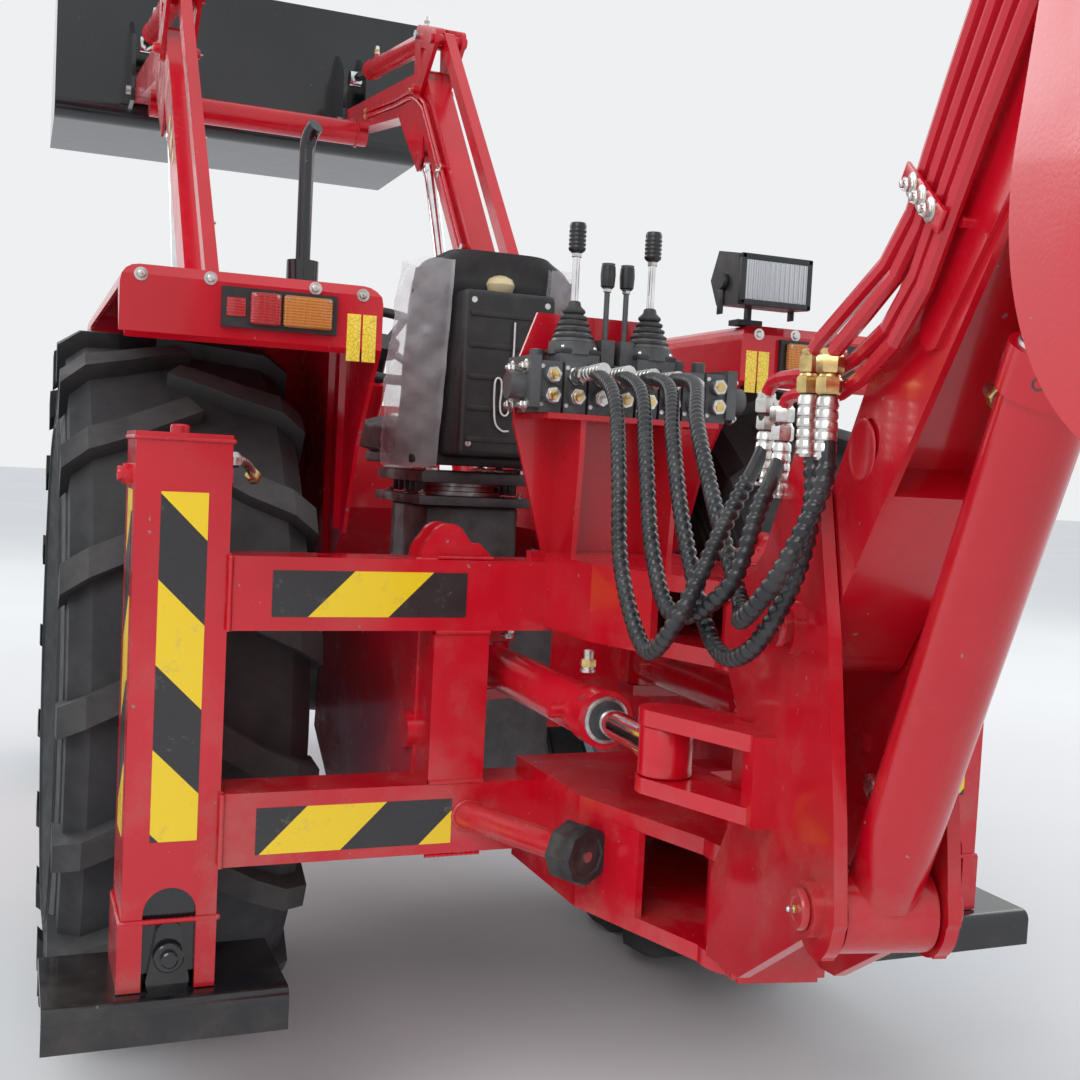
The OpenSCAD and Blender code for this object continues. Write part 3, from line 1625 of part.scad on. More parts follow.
engine();
gearbox();
bonnet();
grille();
dash();
steering_wheel();
fenders();
platform();
seat();
exhaust();
lamps();
loader_frame();
hoe_frame();
leg_sleeves();
valve_bank();
front_axle();
knuckle(1);  // knuckle_left
knuckle(-1);  // knuckle_right
tie_rod();
front_rim(1);  // front_rim_left
front_tyre(1);  // front_tyre_left
front_rim(-1);  // front_rim_right
front_tyre(-1);  // front_tyre_right
rear_rim(1);  // rear_rim_left
rear_tyre(1);  // rear_tyre_left
rear_rim(-1);  // rear_rim_right
rear_tyre(-1);  // rear_tyre_right
loader_arms();
level_links();
bellcranks();
bellcrank_pins();
bucket_pins();
lift_barrels();
lift_rods();
tilt_barrels();
tilt_rods();
loader_bucket();
swing_tower();
swing_barrel(swing_foot, swing_eye_left);  // swing_barrel_left
swing_rod(swing_foot, swing_eye_left);  // swing_rod_left
swing_barrel(swing_foot_right, swing_eye_right);  // swing_barrel_right
swing_rod(swing_foot_right, swing_eye_right);  // swing_rod_right
hoe_hoses_lower();
hoe_hoses_upper();
boom_pipes();
boom();
boom_barrel();
boom_rod();
dipper();
dipper_barrel();
dipper_rod();
curl_barrel();
curl_rod();
rocker();
bucket_link();
hoe_bucket();
leg(1);  // leg_left
leg(-1);  // leg_right
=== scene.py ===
# %% [markdown]
# # A backhoe loader in its working paint
# The welded frame, the plates and the cylinders come from the packed model and keep their sizes. This file
# gives them their finishes and adds what is sewn, moulded, crimped, bolted or welded on: hoses with spiral
# guards, fittings, weld beads, striped tape, the wrapped seat, lever boots, lenses and wheel nuts.

# %% Start from the packed frame
import math
import random
import bpy
import bmesh
from mathutils import Matrix, Vector


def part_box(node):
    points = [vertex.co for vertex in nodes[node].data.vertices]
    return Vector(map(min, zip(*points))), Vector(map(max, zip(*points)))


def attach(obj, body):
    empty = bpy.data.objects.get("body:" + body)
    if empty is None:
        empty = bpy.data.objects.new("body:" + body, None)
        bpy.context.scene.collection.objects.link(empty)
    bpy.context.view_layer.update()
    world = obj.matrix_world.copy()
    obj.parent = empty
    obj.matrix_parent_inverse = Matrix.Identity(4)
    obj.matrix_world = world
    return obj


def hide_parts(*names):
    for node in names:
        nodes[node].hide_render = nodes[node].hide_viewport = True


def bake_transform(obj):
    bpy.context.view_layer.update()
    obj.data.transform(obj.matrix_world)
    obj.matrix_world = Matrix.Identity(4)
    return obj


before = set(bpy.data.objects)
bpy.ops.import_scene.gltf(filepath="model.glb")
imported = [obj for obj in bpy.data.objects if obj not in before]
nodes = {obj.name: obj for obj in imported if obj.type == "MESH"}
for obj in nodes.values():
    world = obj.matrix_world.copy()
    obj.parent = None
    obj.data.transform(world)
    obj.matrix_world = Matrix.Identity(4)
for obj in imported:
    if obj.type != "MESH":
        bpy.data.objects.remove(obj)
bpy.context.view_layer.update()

# %% [markdown]
# ## Where things are
# The machine was drawn from its rear axle, with x ahead, and the hoe from its kingpost, with r pointing out
# along the swung boom. Two small functions turn those millimetres into the row's metres, so that a fitting
# or a hose can be written in the numbers that its maker would use.

# %% Two drawing frames
MIDDLE = 457.136
KINGPOST = 1470.0
SWING = math.radians(12)


def on_machine(x, y, z):
    return Vector(((x - MIDDLE) / 1000, y / 1000, z / 1000))


def on_hoe(r, y, z):
    return on_machine(-KINGPOST - r * math.cos(SWING) + y * math.sin(SWING),
                      r * math.sin(SWING) + y * math.cos(SWING), z)


OUT = Vector((-math.cos(SWING), math.sin(SWING), 0))
LEFT = Vector((math.sin(SWING), math.cos(SWING), 0))
UP = Vector((0, 0, 1))
AHEAD = Vector((1, 0, 0))
BACK = Vector((-1, 0, 0))
Y = Vector((0, 1, 0))
SIDES = ((1, "left"), (-1, "right"))
print("kingpost at", on_hoe(0, 0, 0))

# %% [markdown]
# ## The camera
# The picture was taken from standing height, close behind the left stabilizer. Its lens, place and lean were
# worked out from the ground plane, the wheels and the stabilizers, so the camera is set by numbers and not by
# eye. It leans almost three degrees, which is why uprights in the picture aren't quite upright.

# %% Camera at the picture's angle
LENS_MM, SENSOR_MM = 43.5, 36
CAMERA_AT = on_machine(-3121, 1031, 1279)
yaw, pitch, roll = (math.radians(v) for v in (22.12, 3.27, 2.91))
ahead = Vector((math.cos(yaw) * math.cos(pitch), -math.sin(yaw) * math.cos(pitch), -math.sin(pitch)))
level = Vector((-math.sin(yaw), -math.cos(yaw), 0))
upright = level.cross(ahead)
right = level * math.cos(roll) + upright * math.sin(roll)
top = upright * math.cos(roll) - level * math.sin(roll)
camera = bpy.data.objects.new("camera", bpy.data.cameras.new("camera"))
camera.data.sensor_width = SENSOR_MM
camera.data.lens = LENS_MM
camera.data.clip_end = 200
camera.matrix_world = Matrix.Translation(CAMERA_AT) @ Matrix(
    [[right[i], top[i], -ahead[i]] for i in range(3)]).to_4x4()
bpy.context.scene.collection.objects.link(camera)
bpy.context.scene.camera = camera
print("camera at", camera.location, "lens", camera.data.lens)

# %% [markdown]
# ## Sky light
# A large soft sky shows paint as it is. The world shows its pale side only to the camera, to glossy and to
# clear surfaces, so chrome and gloss paint have something bright to mirror while the light itself stays
# plain.

# %% A sky with two sides
SOFT_SKY, SEEN_SKY = 0.85, 1.0
scene = bpy.context.scene
scene.view_settings.view_transform = "Standard"
scene.world = bpy.data.worlds.new("studio")
scene.world.use_nodes = True
sky = scene.world.node_tree
sky.nodes.clear()


def larger(a, b):
    made = sky.nodes.new("ShaderNodeMath")
    made.operation = "MAXIMUM"
    sky.links.new(a, made.inputs[0])
    sky.links.new(b, made.inputs[1])
    return made.outputs[0]


def background(colour, strength):
    made = sky.nodes.new("ShaderNodeBackground")
    made.inputs["Color"].default_value = (*colour, 1)
    made.inputs["Strength"].default_value = strength
    return made.outputs[0]


rays = sky.nodes.new("ShaderNodeLightPath").outputs
seen = larger(larger(rays["Is Camera Ray"], rays["Is Glossy Ray"]), rays["Is Transmission Ray"])
mix = sky.nodes.new("ShaderNodeMixShader")
sky.links.new(seen, mix.inputs[0])
sky.links.new(background((0.93, 0.96, 1.0), SOFT_SKY), mix.inputs[1])
sky.links.new(background((0.86, 0.87, 0.88), SEEN_SKY), mix.inputs[2])
shown = sky.nodes.new("ShaderNodeOutputWorld")
sky.links.new(mix.outputs[0], shown.inputs["Surface"])
print("sky nodes:", len(sky.nodes))

# %% [markdown]
# ## Lamps
# Three soft area lamps give the machine its shape: a strong one from behind on its left, a weaker one on its
# right, and one from ahead that draws the edges.

# %% Three soft lamps
def soft_lamp(name, where, at, size, watts):
    lamp = bpy.data.objects.new(name, bpy.data.lights.new(name, "AREA"))
    lamp.data.shape = "RECTANGLE"
    lamp.data.size, lamp.data.size_y = size
    lamp.data.energy = watts
    lamp.location = where
    lamp.rotation_euler = (Vector(at) - Vector(where)).to_track_quat("-Z", "Y").to_euler()
    scene.collection.objects.link(lamp)


soft_lamp("key_light", (-7.5, 6.0, 7.5), (-1.0, 0, 1.2), (6, 5), 420)
soft_lamp("fill_light", (2.0, -9.0, 6.0), (0, 0, 1.2), (7, 5), 190)
soft_lamp("back_light", (9.0, 5.0, 6.5), (1.5, 0, 1.5), (6, 4), 200)
print("lamps:", [lamp.name for lamp in bpy.data.lights])

# %% [markdown]
# ## Floor
# The floor is a wide disc whose colour meets the background. It is staging and not a piece of the machine,
# and it lies half a millimetre low, so that the tyres don't share its plane.

# %% A wide floor
FLOOR_RADIUS = 60
disc = bmesh.new()
bmesh.ops.create_circle(disc, cap_ends=True, radius=FLOOR_RADIUS, segments=96)
floor_mesh = bpy.data.meshes.new("floor")
disc.to_mesh(floor_mesh)
disc.free()
floor = bpy.data.objects.new("floor", floor_mesh)
floor.location.z = -0.0005
scene.collection.objects.link(floor)
print("floor", 2 * FLOOR_RADIUS, "m wide")

# %% [markdown]
# ## How the finishes are built
# Every finish is one Principled shader with a few procedural layers: broad noise for uneven spraying, a
# height-bound veil of road dust, small chips, and a fine bump. The patterns use object coordinates. All
# pieces keep their origin at the row's origin, so the patterns have one true scale all over the machine
# and stay put on a piece that swings. The helper is built in three steps, each on top of the last one.

# %% A material with its Principled shader
class Shader:
    """A material with its Principled shader, and short calls that add and join nodes."""

    def __init__(self, name, roughness=0.5, metallic=0.0, coat=0.0, **sockets):
        self.material = bpy.data.materials.new(name)
        self.material.use_nodes = True
        self.tree = self.material.node_tree
        self.tree.nodes.clear()
        self.shader = self.node("ShaderNodeBsdfPrincipled")
        output = self.node("ShaderNodeOutputMaterial")
        self.join(self.shader.outputs[0], output.inputs["Surface"])
        self.shader.inputs["Roughness"].default_value = roughness
        self.shader.inputs["Metallic"].default_value = metallic
        self.shader.inputs["Coat Weight"].default_value = coat
        self.shader.inputs["Coat Roughness"].default_value = 0.06
        for socket, value in sockets.items():
            self.shader.inputs[socket.replace("_", " ")].default_value = value
        self.place = self.node("ShaderNodeTexCoord").outputs["Object"]
        self.bumps = None

    def node(self, kind, **settings):
        made = self.tree.nodes.new(kind)
        for key, value in settings.items():
            setattr(made, key, value)
        return made

    def join(self, a, b):
        self.tree.links.new(a, b)


print("shader helper ready")

# %% [markdown]
# ## Patterns
# A pattern is a grey value all over a piece. Noise gives one, a range cuts and stretches it, and a product
# of two patterns is strong only where both are.

# %% Noise, ranges and products
class Patterns(Shader):
    """Grey patterns, measured in the row's metres."""

    def noise(self, scale, detail=3.0, rough=0.5, stretch=None):
        made = self.node("ShaderNodeTexNoise")
        made.inputs["Scale"].default_value = scale
        made.inputs["Detail"].default_value = detail
        made.inputs["Roughness"].default_value = rough
        if stretch is None:
            self.join(self.place, made.inputs["Vector"])
        else:
            mapping = self.node("ShaderNodeMapping")
            mapping.inputs["Scale"].default_value = stretch
            self.join(self.place, mapping.inputs["Vector"])
            self.join(mapping.outputs[0], made.inputs["Vector"])
        return made.outputs["Fac"]

    def between(self, value, low, high, to_low=0.0, to_high=1.0):
        made = self.node("ShaderNodeMapRange")
        made.inputs["From Min"].default_value = low
        made.inputs["From Max"].default_value = high
        made.inputs["To Min"].default_value = to_low
        made.inputs["To Max"].default_value = to_high
        self.join(value, made.inputs["Value"])
        return made.outputs["Result"]

    def times(self, a, b):
        made = self.node("ShaderNodeMath", operation="MULTIPLY")
        self.join(a, made.inputs[0])
        if isinstance(b, (int, float)):
            made.inputs[1].default_value = b
        else:
            self.join(b, made.inputs[1])
        return made.outputs[0]

    def height(self):
        made = self.node("ShaderNodeSeparateXYZ")
        self.join(self.place, made.inputs[0])
        return made.outputs["Z"]


print("patterns:", [name for name in vars(Patterns) if name[0] != "_"])

# %% [markdown]
# ## Layers
# Patterns steer the colour, the roughness and the bump. Each bump builds on the one before it, so a fine
# grain can lie over a broad wave.

# %% Colour, roughness and bump
class Finish(Patterns):
    """A finish in layers."""

    def blend(self, share, a, b):
        """Colour a where share is 0 and b where it is 1; each is a colour or another blend."""
        made = self.node("ShaderNodeMix", data_type="RGBA")
        self.join(share, made.inputs["Factor"])
        for socket, colour in ((made.inputs[6], a), (made.inputs[7], b)):
            if isinstance(colour, tuple):
                socket.default_value = (*colour, 1)
            else:
                self.join(colour, socket)
        return made.outputs[2]

    def colour(self, value):
        self.join(value, self.shader.inputs["Base Color"])

    def rough(self, value):
        self.join(value, self.shader.inputs["Roughness"])

    def bump(self, value, depth, strength=1.0):
        made = self.node("ShaderNodeBump")
        made.inputs["Distance"].default_value = depth
        made.inputs["Strength"].default_value = strength
        self.join(value, made.inputs["Height"])
        if self.bumps is not None:
            self.join(self.bumps, made.inputs["Normal"])
        self.bumps = made.outputs["Normal"]
        self.join(self.bumps, self.shader.inputs["Normal"])


finishes = {}
print("layers:", [name for name in vars(Finish) if name[0] != "_"])

# %% [markdown]
# ## Sprayed paint
# The machine is sprayed over welds and all in a deep gloss red. Such paint has orange peel, shallow waves
# where plates were ground, a few stone chips down to grey primer, and dust that gathers low down. The blue
# rims and the black bucket are the same paint in other colours, so one function makes them all.

# %% Gloss paints
DUST_TOP, DUST_FULL = 1.3, 0.25


def gloss_paint(name, base, deep, chip, dust=0.5, rough=(0.16, 0.3)):
    paint = Finish(name, coat=0.3)
    uneven = paint.between(paint.noise(2.2, 4), 0.35, 0.68)
    sprayed = paint.blend(uneven, base, deep)
    low = paint.between(paint.height(), DUST_TOP, DUST_FULL)
    patches = paint.between(paint.noise(7, 6, 0.65), 0.47, 0.72)
    veil = paint.times(paint.times(low, patches), dust)
    dusty = paint.blend(veil, sprayed, (0.33, 0.27, 0.22))
    chips = paint.between(paint.noise(85, 2, 0.4), 0.765, 0.785)
    paint.colour(paint.blend(chips, dusty, chip))
    paint.rough(paint.between(paint.noise(14, 4), 0.3, 0.7, *rough))
    paint.bump(paint.noise(3.2, 2), 0.0025, 0.35)
    paint.bump(paint.noise(330, 1), 0.00022, 0.5)
    finishes[name] = paint.material


gloss_paint("red_gloss", (0.6, 0.004, 0.018), (0.47, 0.002, 0.012), (0.25, 0.2, 0.2), 0.4)
gloss_paint("black_gloss", (0.016, 0.017, 0.019), (0.008, 0.009, 0.011), (0.12, 0.12, 0.12), 0.12,
            (0.08, 0.2))
gloss_paint("rim_blue", (0.42, 0.62, 0.78), (0.36, 0.55, 0.72), (0.3, 0.3, 0.3), 0.75, (0.28, 0.42))
gloss_paint("pipe_red", (0.62, 0.01, 0.03), (0.5, 0.006, 0.02), (0.4, 0.4, 0.4), 0.1, (0.2, 0.32))
print("paints:", sorted(finishes))

# %% [markdown]
# ## Metals
# Piston rods are hard chrome: nearly a mirror, with a fine film of oil that dulls it in patches. Fittings are
# zinc with a faint yellow or plain brass, pins are turned steel, and castings are painted a grainy grey. The
# castings' grain comes from two sizes of noise in the bump.

# %% Chrome, zinc, brass, steel and castings
chrome = Finish("hard_chrome", metallic=1.0, roughness=0.08)
chrome.colour(chrome.blend(chrome.between(chrome.noise(26, 3), 0.4, 0.7),
                           (0.86, 0.87, 0.88), (0.7, 0.72, 0.74)))
chrome.rough(chrome.between(chrome.noise(40, 4, 0.6), 0.35, 0.75, 0.05, 0.17))
chrome.bump(chrome.noise(600, 1), 0.00004, 0.4)
finishes["chrome"] = chrome.material


def fitting_metal(name, base, stained, rough):
    metal = Finish(name, metallic=1.0)
    metal.colour(metal.blend(metal.between(metal.noise(45, 4, 0.6), 0.42, 0.68), base, stained))
    metal.rough(metal.between(metal.noise(70, 3), 0.3, 0.7, *rough))
    metal.bump(metal.noise(260, 2), 0.00015, 0.5)
    finishes[name] = metal.material


fitting_metal("zinc", (0.72, 0.72, 0.7), (0.5, 0.49, 0.45), (0.2, 0.42))
fitting_metal("brass", (0.75, 0.56, 0.24), (0.5, 0.36, 0.16), (0.22, 0.4))
fitting_metal("turned_steel", (0.52, 0.52, 0.53), (0.32, 0.3, 0.29), (0.28, 0.5))

casting = Finish("grey_casting", roughness=0.5, coat=0.15)
grimy = casting.between(casting.noise(9, 6, 0.7), 0.42, 0.7)
casting.colour(casting.blend(grimy, (0.085, 0.09, 0.095), (0.028, 0.027, 0.026)))
casting.rough(casting.between(casting.noise(22, 4), 0.3, 0.7, 0.38, 0.62))
casting.bump(casting.noise(420, 3, 0.7), 0.0004, 0.6)
casting.bump(casting.noise(38, 3), 0.0012, 0.3)
finishes["casting"] = casting.material
print("metals:", sorted(finishes))

# %% [markdown]
# ## Rubber
# A new working tyre is a dull blue-black that greys with dust where it meets the road, with fine moulding
# grain and flow marks. The dust sits on the crown, so its share grows with the distance from the wheel's
# middle: each wheel gets its own copy of the finish, which knows where its axle is.

# %% Tyre rubber
def tyre_rubber(name, hub, crown):
    rubber = Finish(name, roughness=0.75)
    reach = rubber.node("ShaderNodeVectorMath", operation="DISTANCE")
    flat = rubber.node("ShaderNodeVectorMath", operation="MULTIPLY")
    rubber.join(rubber.place, flat.inputs[0])
    flat.inputs[1].default_value = (1, 0, 1)
    rubber.join(flat.outputs[0], reach.inputs[0])
    reach.inputs[1].default_value = (hub[0], 0, hub[2])
    outer = rubber.between(reach.outputs["Value"], crown - 0.05, crown)
    worn = rubber.times(outer, rubber.between(rubber.noise(11, 6, 0.7), 0.3, 0.62, 0.35, 1.0))
    smear = rubber.between(rubber.noise(4.5, 5, 0.65), 0.46, 0.72, 0.0, 0.5)
    base = rubber.blend(smear, (0.017, 0.018, 0.021), (0.046, 0.044, 0.042))
    rubber.colour(rubber.blend(worn, base, (0.068, 0.067, 0.067)))
    rubber.rough(rubber.between(rubber.noise(20, 4), 0.3, 0.7, 0.6, 0.85))
    rubber.bump(rubber.noise(190, 4, 0.6), 0.0008, 0.5)
    rubber.bump(rubber.noise(16, 2), 0.003, 0.2)
    finishes[name] = rubber.material
    return rubber.material


print("a tyre's rubber waits for its wheel")

# %% [markdown]
# ## Hoses, boots and plastics
# Hoses, boots, the seat's vinyl and all moulded plastics are one recipe: a colour with a dusty share, a
# roughness between two values and a grain of a given fineness.

# %% Rubber and plastic
def plain_rubber(name, base, dusty, rough, grain):
    rubber = Finish(name)
    rubber.colour(rubber.blend(rubber.between(rubber.noise(25, 5, 0.65), 0.42, 0.7), base, dusty))
    rubber.rough(rubber.between(rubber.noise(40, 3), 0.3, 0.7, *rough))
    rubber.bump(rubber.noise(grain, 2), 0.0003, 0.5)
    finishes[name] = rubber.material


plain_rubber("hose_rubber", (0.02, 0.021, 0.023), (0.05, 0.048, 0.045), (0.4, 0.6), 500)
plain_rubber("guard_plastic", (0.012, 0.014, 0.018), (0.045, 0.045, 0.045), (0.22, 0.4), 300)
plain_rubber("boot_rubber", (0.018, 0.018, 0.02), (0.06, 0.055, 0.05), (0.5, 0.7), 350)
plain_rubber("shell_plastic", (0.016, 0.016, 0.018), (0.03, 0.03, 0.03), (0.34, 0.5), 700)
plain_rubber("seat_vinyl", (0.014, 0.014, 0.016), (0.032, 0.031, 0.03), (0.42, 0.55), 900)
plain_rubber("grip_plastic", (0.012, 0.012, 0.013), (0.03, 0.03, 0.03), (0.25, 0.36), 900)
plain_rubber("knob", (0.72, 0.6, 0.34), (0.6, 0.5, 0.3), (0.35, 0.5), 300)
plain_rubber("reflector_wire", (0.78, 0.78, 0.76), (0.6, 0.6, 0.58), (0.25, 0.4), 500)
print("rubbers and plastics:", sorted(finishes))

# %% [markdown]
# ## Striped tape
# The striped warning tape is a slanted square wave: the distance along the slant is wrapped by the stripe's
# pitch and cut in half. Tape slopes one way on the beams and the other way on the legs, so the slope and the
# way across are inputs.

# %% Warning stripes
def striped_tape(name, along, pitch, start):
    """along is the direction across the stripes times the row's x, y and z, in metres."""
    tape = Finish(name, roughness=0.32, coat=0.3)
    across = tape.node("ShaderNodeVectorMath", operation="DOT_PRODUCT")
    tape.join(tape.place, across.inputs[0])
    across.inputs[1].default_value = along
    shifted = tape.node("ShaderNodeMath", operation="SUBTRACT")
    tape.join(across.outputs["Value"], shifted.inputs[0])
    shifted.inputs[1].default_value = start
    wrapped = tape.node("ShaderNodeMath", operation="WRAP")
    tape.join(shifted.outputs[0], wrapped.inputs[0])
    wrapped.inputs[1].default_value = pitch
    wrapped.inputs[2].default_value = 0.0
    black = tape.node("ShaderNodeMath", operation="GREATER_THAN")
    tape.join(wrapped.outputs[0], black.inputs[0])
    black.inputs[1].default_value = pitch / 2
    scuffs = tape.between(tape.noise(30, 5, 0.7), 0.6, 0.75, 0.0, 0.35)
    stripes = tape.blend(black.outputs[0], (0.86, 0.62, 0.01), (0.018, 0.018, 0.02))
    tape.colour(tape.blend(scuffs, stripes, (0.3, 0.25, 0.18)))
    tape.rough(tape.between(tape.noise(25, 3), 0.3, 0.7, 0.25, 0.45))
    cells = tape.node("ShaderNodeTexVoronoi")
    cells.inputs["Scale"].default_value = 420
    tape.join(tape.place, cells.inputs["Vector"])
    tape.bump(cells.outputs["Distance"], 0.0001, 0.4)
    finishes[name] = tape.material


print("stripes ready")

# %% [markdown]
# ## Lenses
# Lenses are tinted clear plastic over a ribbed bump: level ribs for amber and red, upright ribs for clear.

# %% Lamp lenses
def lens(name, tint, ribs):
    glass = Finish(name, roughness=0.12, coat=0.8, Transmission_Weight=0.35, IOR=1.49)
    wave = glass.node("ShaderNodeTexWave", bands_direction=ribs[0])
    wave.inputs["Scale"].default_value = ribs[1]
    glass.join(glass.place, wave.inputs["Vector"])
    shade = glass.between(wave.outputs["Fac"], 0.1, 0.9)
    glass.colour(glass.blend(shade, tint, tuple(0.72 * c for c in tint)))
    glass.bump(wave.outputs["Fac"], 0.0012, 0.7)
    finishes[name] = glass.material


lens("amber_lens", (0.95, 0.32, 0.03), ("Z", 60))
lens("red_lens", (0.75, 0.01, 0.015), ("Z", 60))
lens("clear_lens", (0.82, 0.86, 0.9), ("Y", 55))
lens("headlamp_lens", (0.82, 0.86, 0.9), ("Y", 40))
print("lenses ready")

# %% [markdown]
# ## Reflector, film and silver
# A reflector is a honeycomb of small cells under a clear coat. The film round the seat is mostly clear, with
# a crumpled bump, and a lamp's bowl is a bright silver.

# %% Reflector, clear film, lamp silver
reflector = Finish("yellow_reflector", roughness=0.3, coat=0.7)
honeycomb = reflector.node("ShaderNodeTexVoronoi", feature="DISTANCE_TO_EDGE")
honeycomb.inputs["Scale"].default_value = 130
reflector.join(reflector.place, honeycomb.inputs["Vector"])
reflector.colour(reflector.blend(reflector.between(honeycomb.outputs["Distance"], 0.02, 0.08),
                                 (0.6, 0.42, 0.02), (0.95, 0.72, 0.06)))
reflector.bump(honeycomb.outputs["Distance"], 0.0004, 0.6)
finishes["reflector"] = reflector.material

film = Finish("clear_film", roughness=0.12, Transmission_Weight=0.0, IOR=1.45, Alpha=0.3)
film.colour(film.blend(film.between(film.noise(18, 5), 0.4, 0.65), (0.8, 0.82, 0.85), (0.95, 0.96, 0.97)))
film.bump(film.noise(24, 5, 0.6, (1, 1, 0.5)), 0.006, 0.9)
finishes["film"] = film.material

silver = Finish("lamp_silver", metallic=1.0, roughness=0.12)
silver.colour(silver.blend(silver.noise(30), (0.9, 0.9, 0.9), (0.75, 0.76, 0.78)))
finishes["silver"] = silver.material
print("finishes:", len(finishes))

# %% [markdown]
# ## Floor colour
# The floor is matt and slightly uneven, in the tone of the pale sky behind it.

# %% Paint the floor
paving = Finish("pale_floor", roughness=0.9)
paving.colour(paving.blend(paving.between(paving.noise(0.5, 3), 0.35, 0.65),
                           (0.78, 0.785, 0.79), (0.81, 0.815, 0.82)))
floor.data.materials.append(paving.material)
print("floor finish:", paving.material.name)

# %% [markdown]
# ## Finishes for the carried-over pieces
# A table names the finish of each packed piece. Each tyre gets its own rubber, since the dust on its crown
# is measured from its own axle.

# %% Paint the packed pieces
piece_finish = {
    "red_gloss": ["bonnet", "dash", "fenders", "platform", "loader_frame", "hoe_frame", "leg_sleeves",
                  "loader_arms", "level_links", "bellcranks", "lift_barrels", "tilt_barrels", "swing_tower",
                  "swing_barrel_left", "swing_barrel_right", "boom", "boom_barrel", "dipper", "dipper_barrel",
                  "curl_barrel", "rocker", "bucket_link", "hoe_bucket", "front_axle"],
    "pipe_red": ["boom_pipes"],
    "black_gloss": ["grille", "exhaust", "loader_bucket", "leg_left", "leg_right"],
    "shell_plastic": ["lamps", "steering_wheel", "seat"],
    "casting": ["engine", "gearbox", "valve_bank", "knuckle_left", "knuckle_right", "tie_rod"],
    "chrome": ["lift_rods", "tilt_rods", "swing_rod_left", "swing_rod_right", "boom_rod", "dipper_rod",
               "curl_rod"],
    "turned_steel": ["bellcrank_pins", "bucket_pins"],
    "rim_blue": ["front_rim_left", "front_rim_right", "rear_rim_left", "rear_rim_right"],
    "hose_rubber": ["hoe_hoses_lower", "hoe_hoses_upper"],
}


def paint_node(name, material):
    piece = nodes[name]
    if not piece.material_slots:
        piece.data.materials.append(material)
    for slot in piece.material_slots:
        slot.material = material


painted = set()
for finish, names in piece_finish.items():
    for name in names:
        if name in nodes:
            paint_node(name, finishes[finish])
            painted.add(name)
for name in ("front_tyre_left", "front_tyre_right", "rear_tyre_left", "rear_tyre_right"):
    low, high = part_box(name)
    hub = [(a + b) / 2 for a, b in zip(low, high)]
    paint_node(name, tyre_rubber("rubber_" + name, hub, (high[2] - low[2]) / 2))
    painted.add(name)
print("painted", len(painted), "pieces; left:", sorted(set(nodes) - painted))

# %% [markdown]
# ## A tray for small forms
# A machine like this has hundreds of nuts, pins and fittings. Almost all of them are turned, bent or cut from
# plate, so four small makers are enough: a turned form, a swept tube, an eased block and a cut plate. A tray
# collects them into one mesh for each body, and each form keeps its own finish as a material slot.

# %% The tray itself
class Forms:
    """Many small forms on one body, kept as one mesh."""

    def __init__(self, name):
        self.name = name
        self.verts, self.faces, self.marks, self.finishes = [], [], [], []

    def add(self, finish, verts, faces):
        if finish not in self.finishes:
            self.finishes.append(finish)
        start = len(self.verts)
        self.verts += [tuple(v) for v in verts]
        self.faces += [tuple(start + i for i in face) for face in faces]
        self.marks += [self.finishes.index(finish)] * len(faces)

    def mesh(self, smooth):
        mesh = bpy.data.meshes.new(self.name)
        mesh.from_pydata(self.verts, [], self.faces)
        for finish in self.finishes:
            mesh.materials.append(finishes[finish])
        mesh.polygons.foreach_set("material_index", self.marks)
        form = bmesh.new()
        form.from_mesh(mesh)
        bmesh.ops.recalc_face_normals(form, faces=form.faces)
        form.to_mesh(mesh)
        form.free()
        mesh.shade_smooth()
        mesh.set_sharp_from_angle(angle=math.radians(smooth))
        return mesh

    def made(self, body=None, smooth=38):
        piece = bpy.data.objects.new(self.name, self.mesh(smooth))
        scene.collection.objects.link(piece)
        if body:
            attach(piece, body)
        print(f"{self.name}: {len(self.faces)} faces")
        return piece


print("tray ready")

# %% [markdown]
# ## Turned forms, nuts and bolts
# A turned form is a row of rings round an axis. A nut is one with six sides and a chamfer, and a bolt is a
# washer, a nut and the end of a stud.

# %% Turned forms
def square_to(axis):
    axis = Vector(axis).normalized()
    side = axis.cross(Vector((0.31, 0.17, 0.93)) if abs(axis.z) < 0.9 else Vector((1, 0, 0))).normalized()
    return axis, side, axis.cross(side)


def full_turn(count):
    """Angles once round, with the first one again at the end."""
    return [2 * math.pi * k / count for k in range(count + 1)]


def tube_faces(rings, sides):
    """Faces between rings of points, with a face over each end."""
    faces = [(i * sides + k, i * sides + (k + 1) % sides, (i + 1) * sides + (k + 1) % sides,
              (i + 1) * sides + k) for i in range(rings - 1) for k in range(sides)]
    return faces + [tuple(range(sides))[::-1], tuple((rings - 1) * sides + k for k in range(sides))]


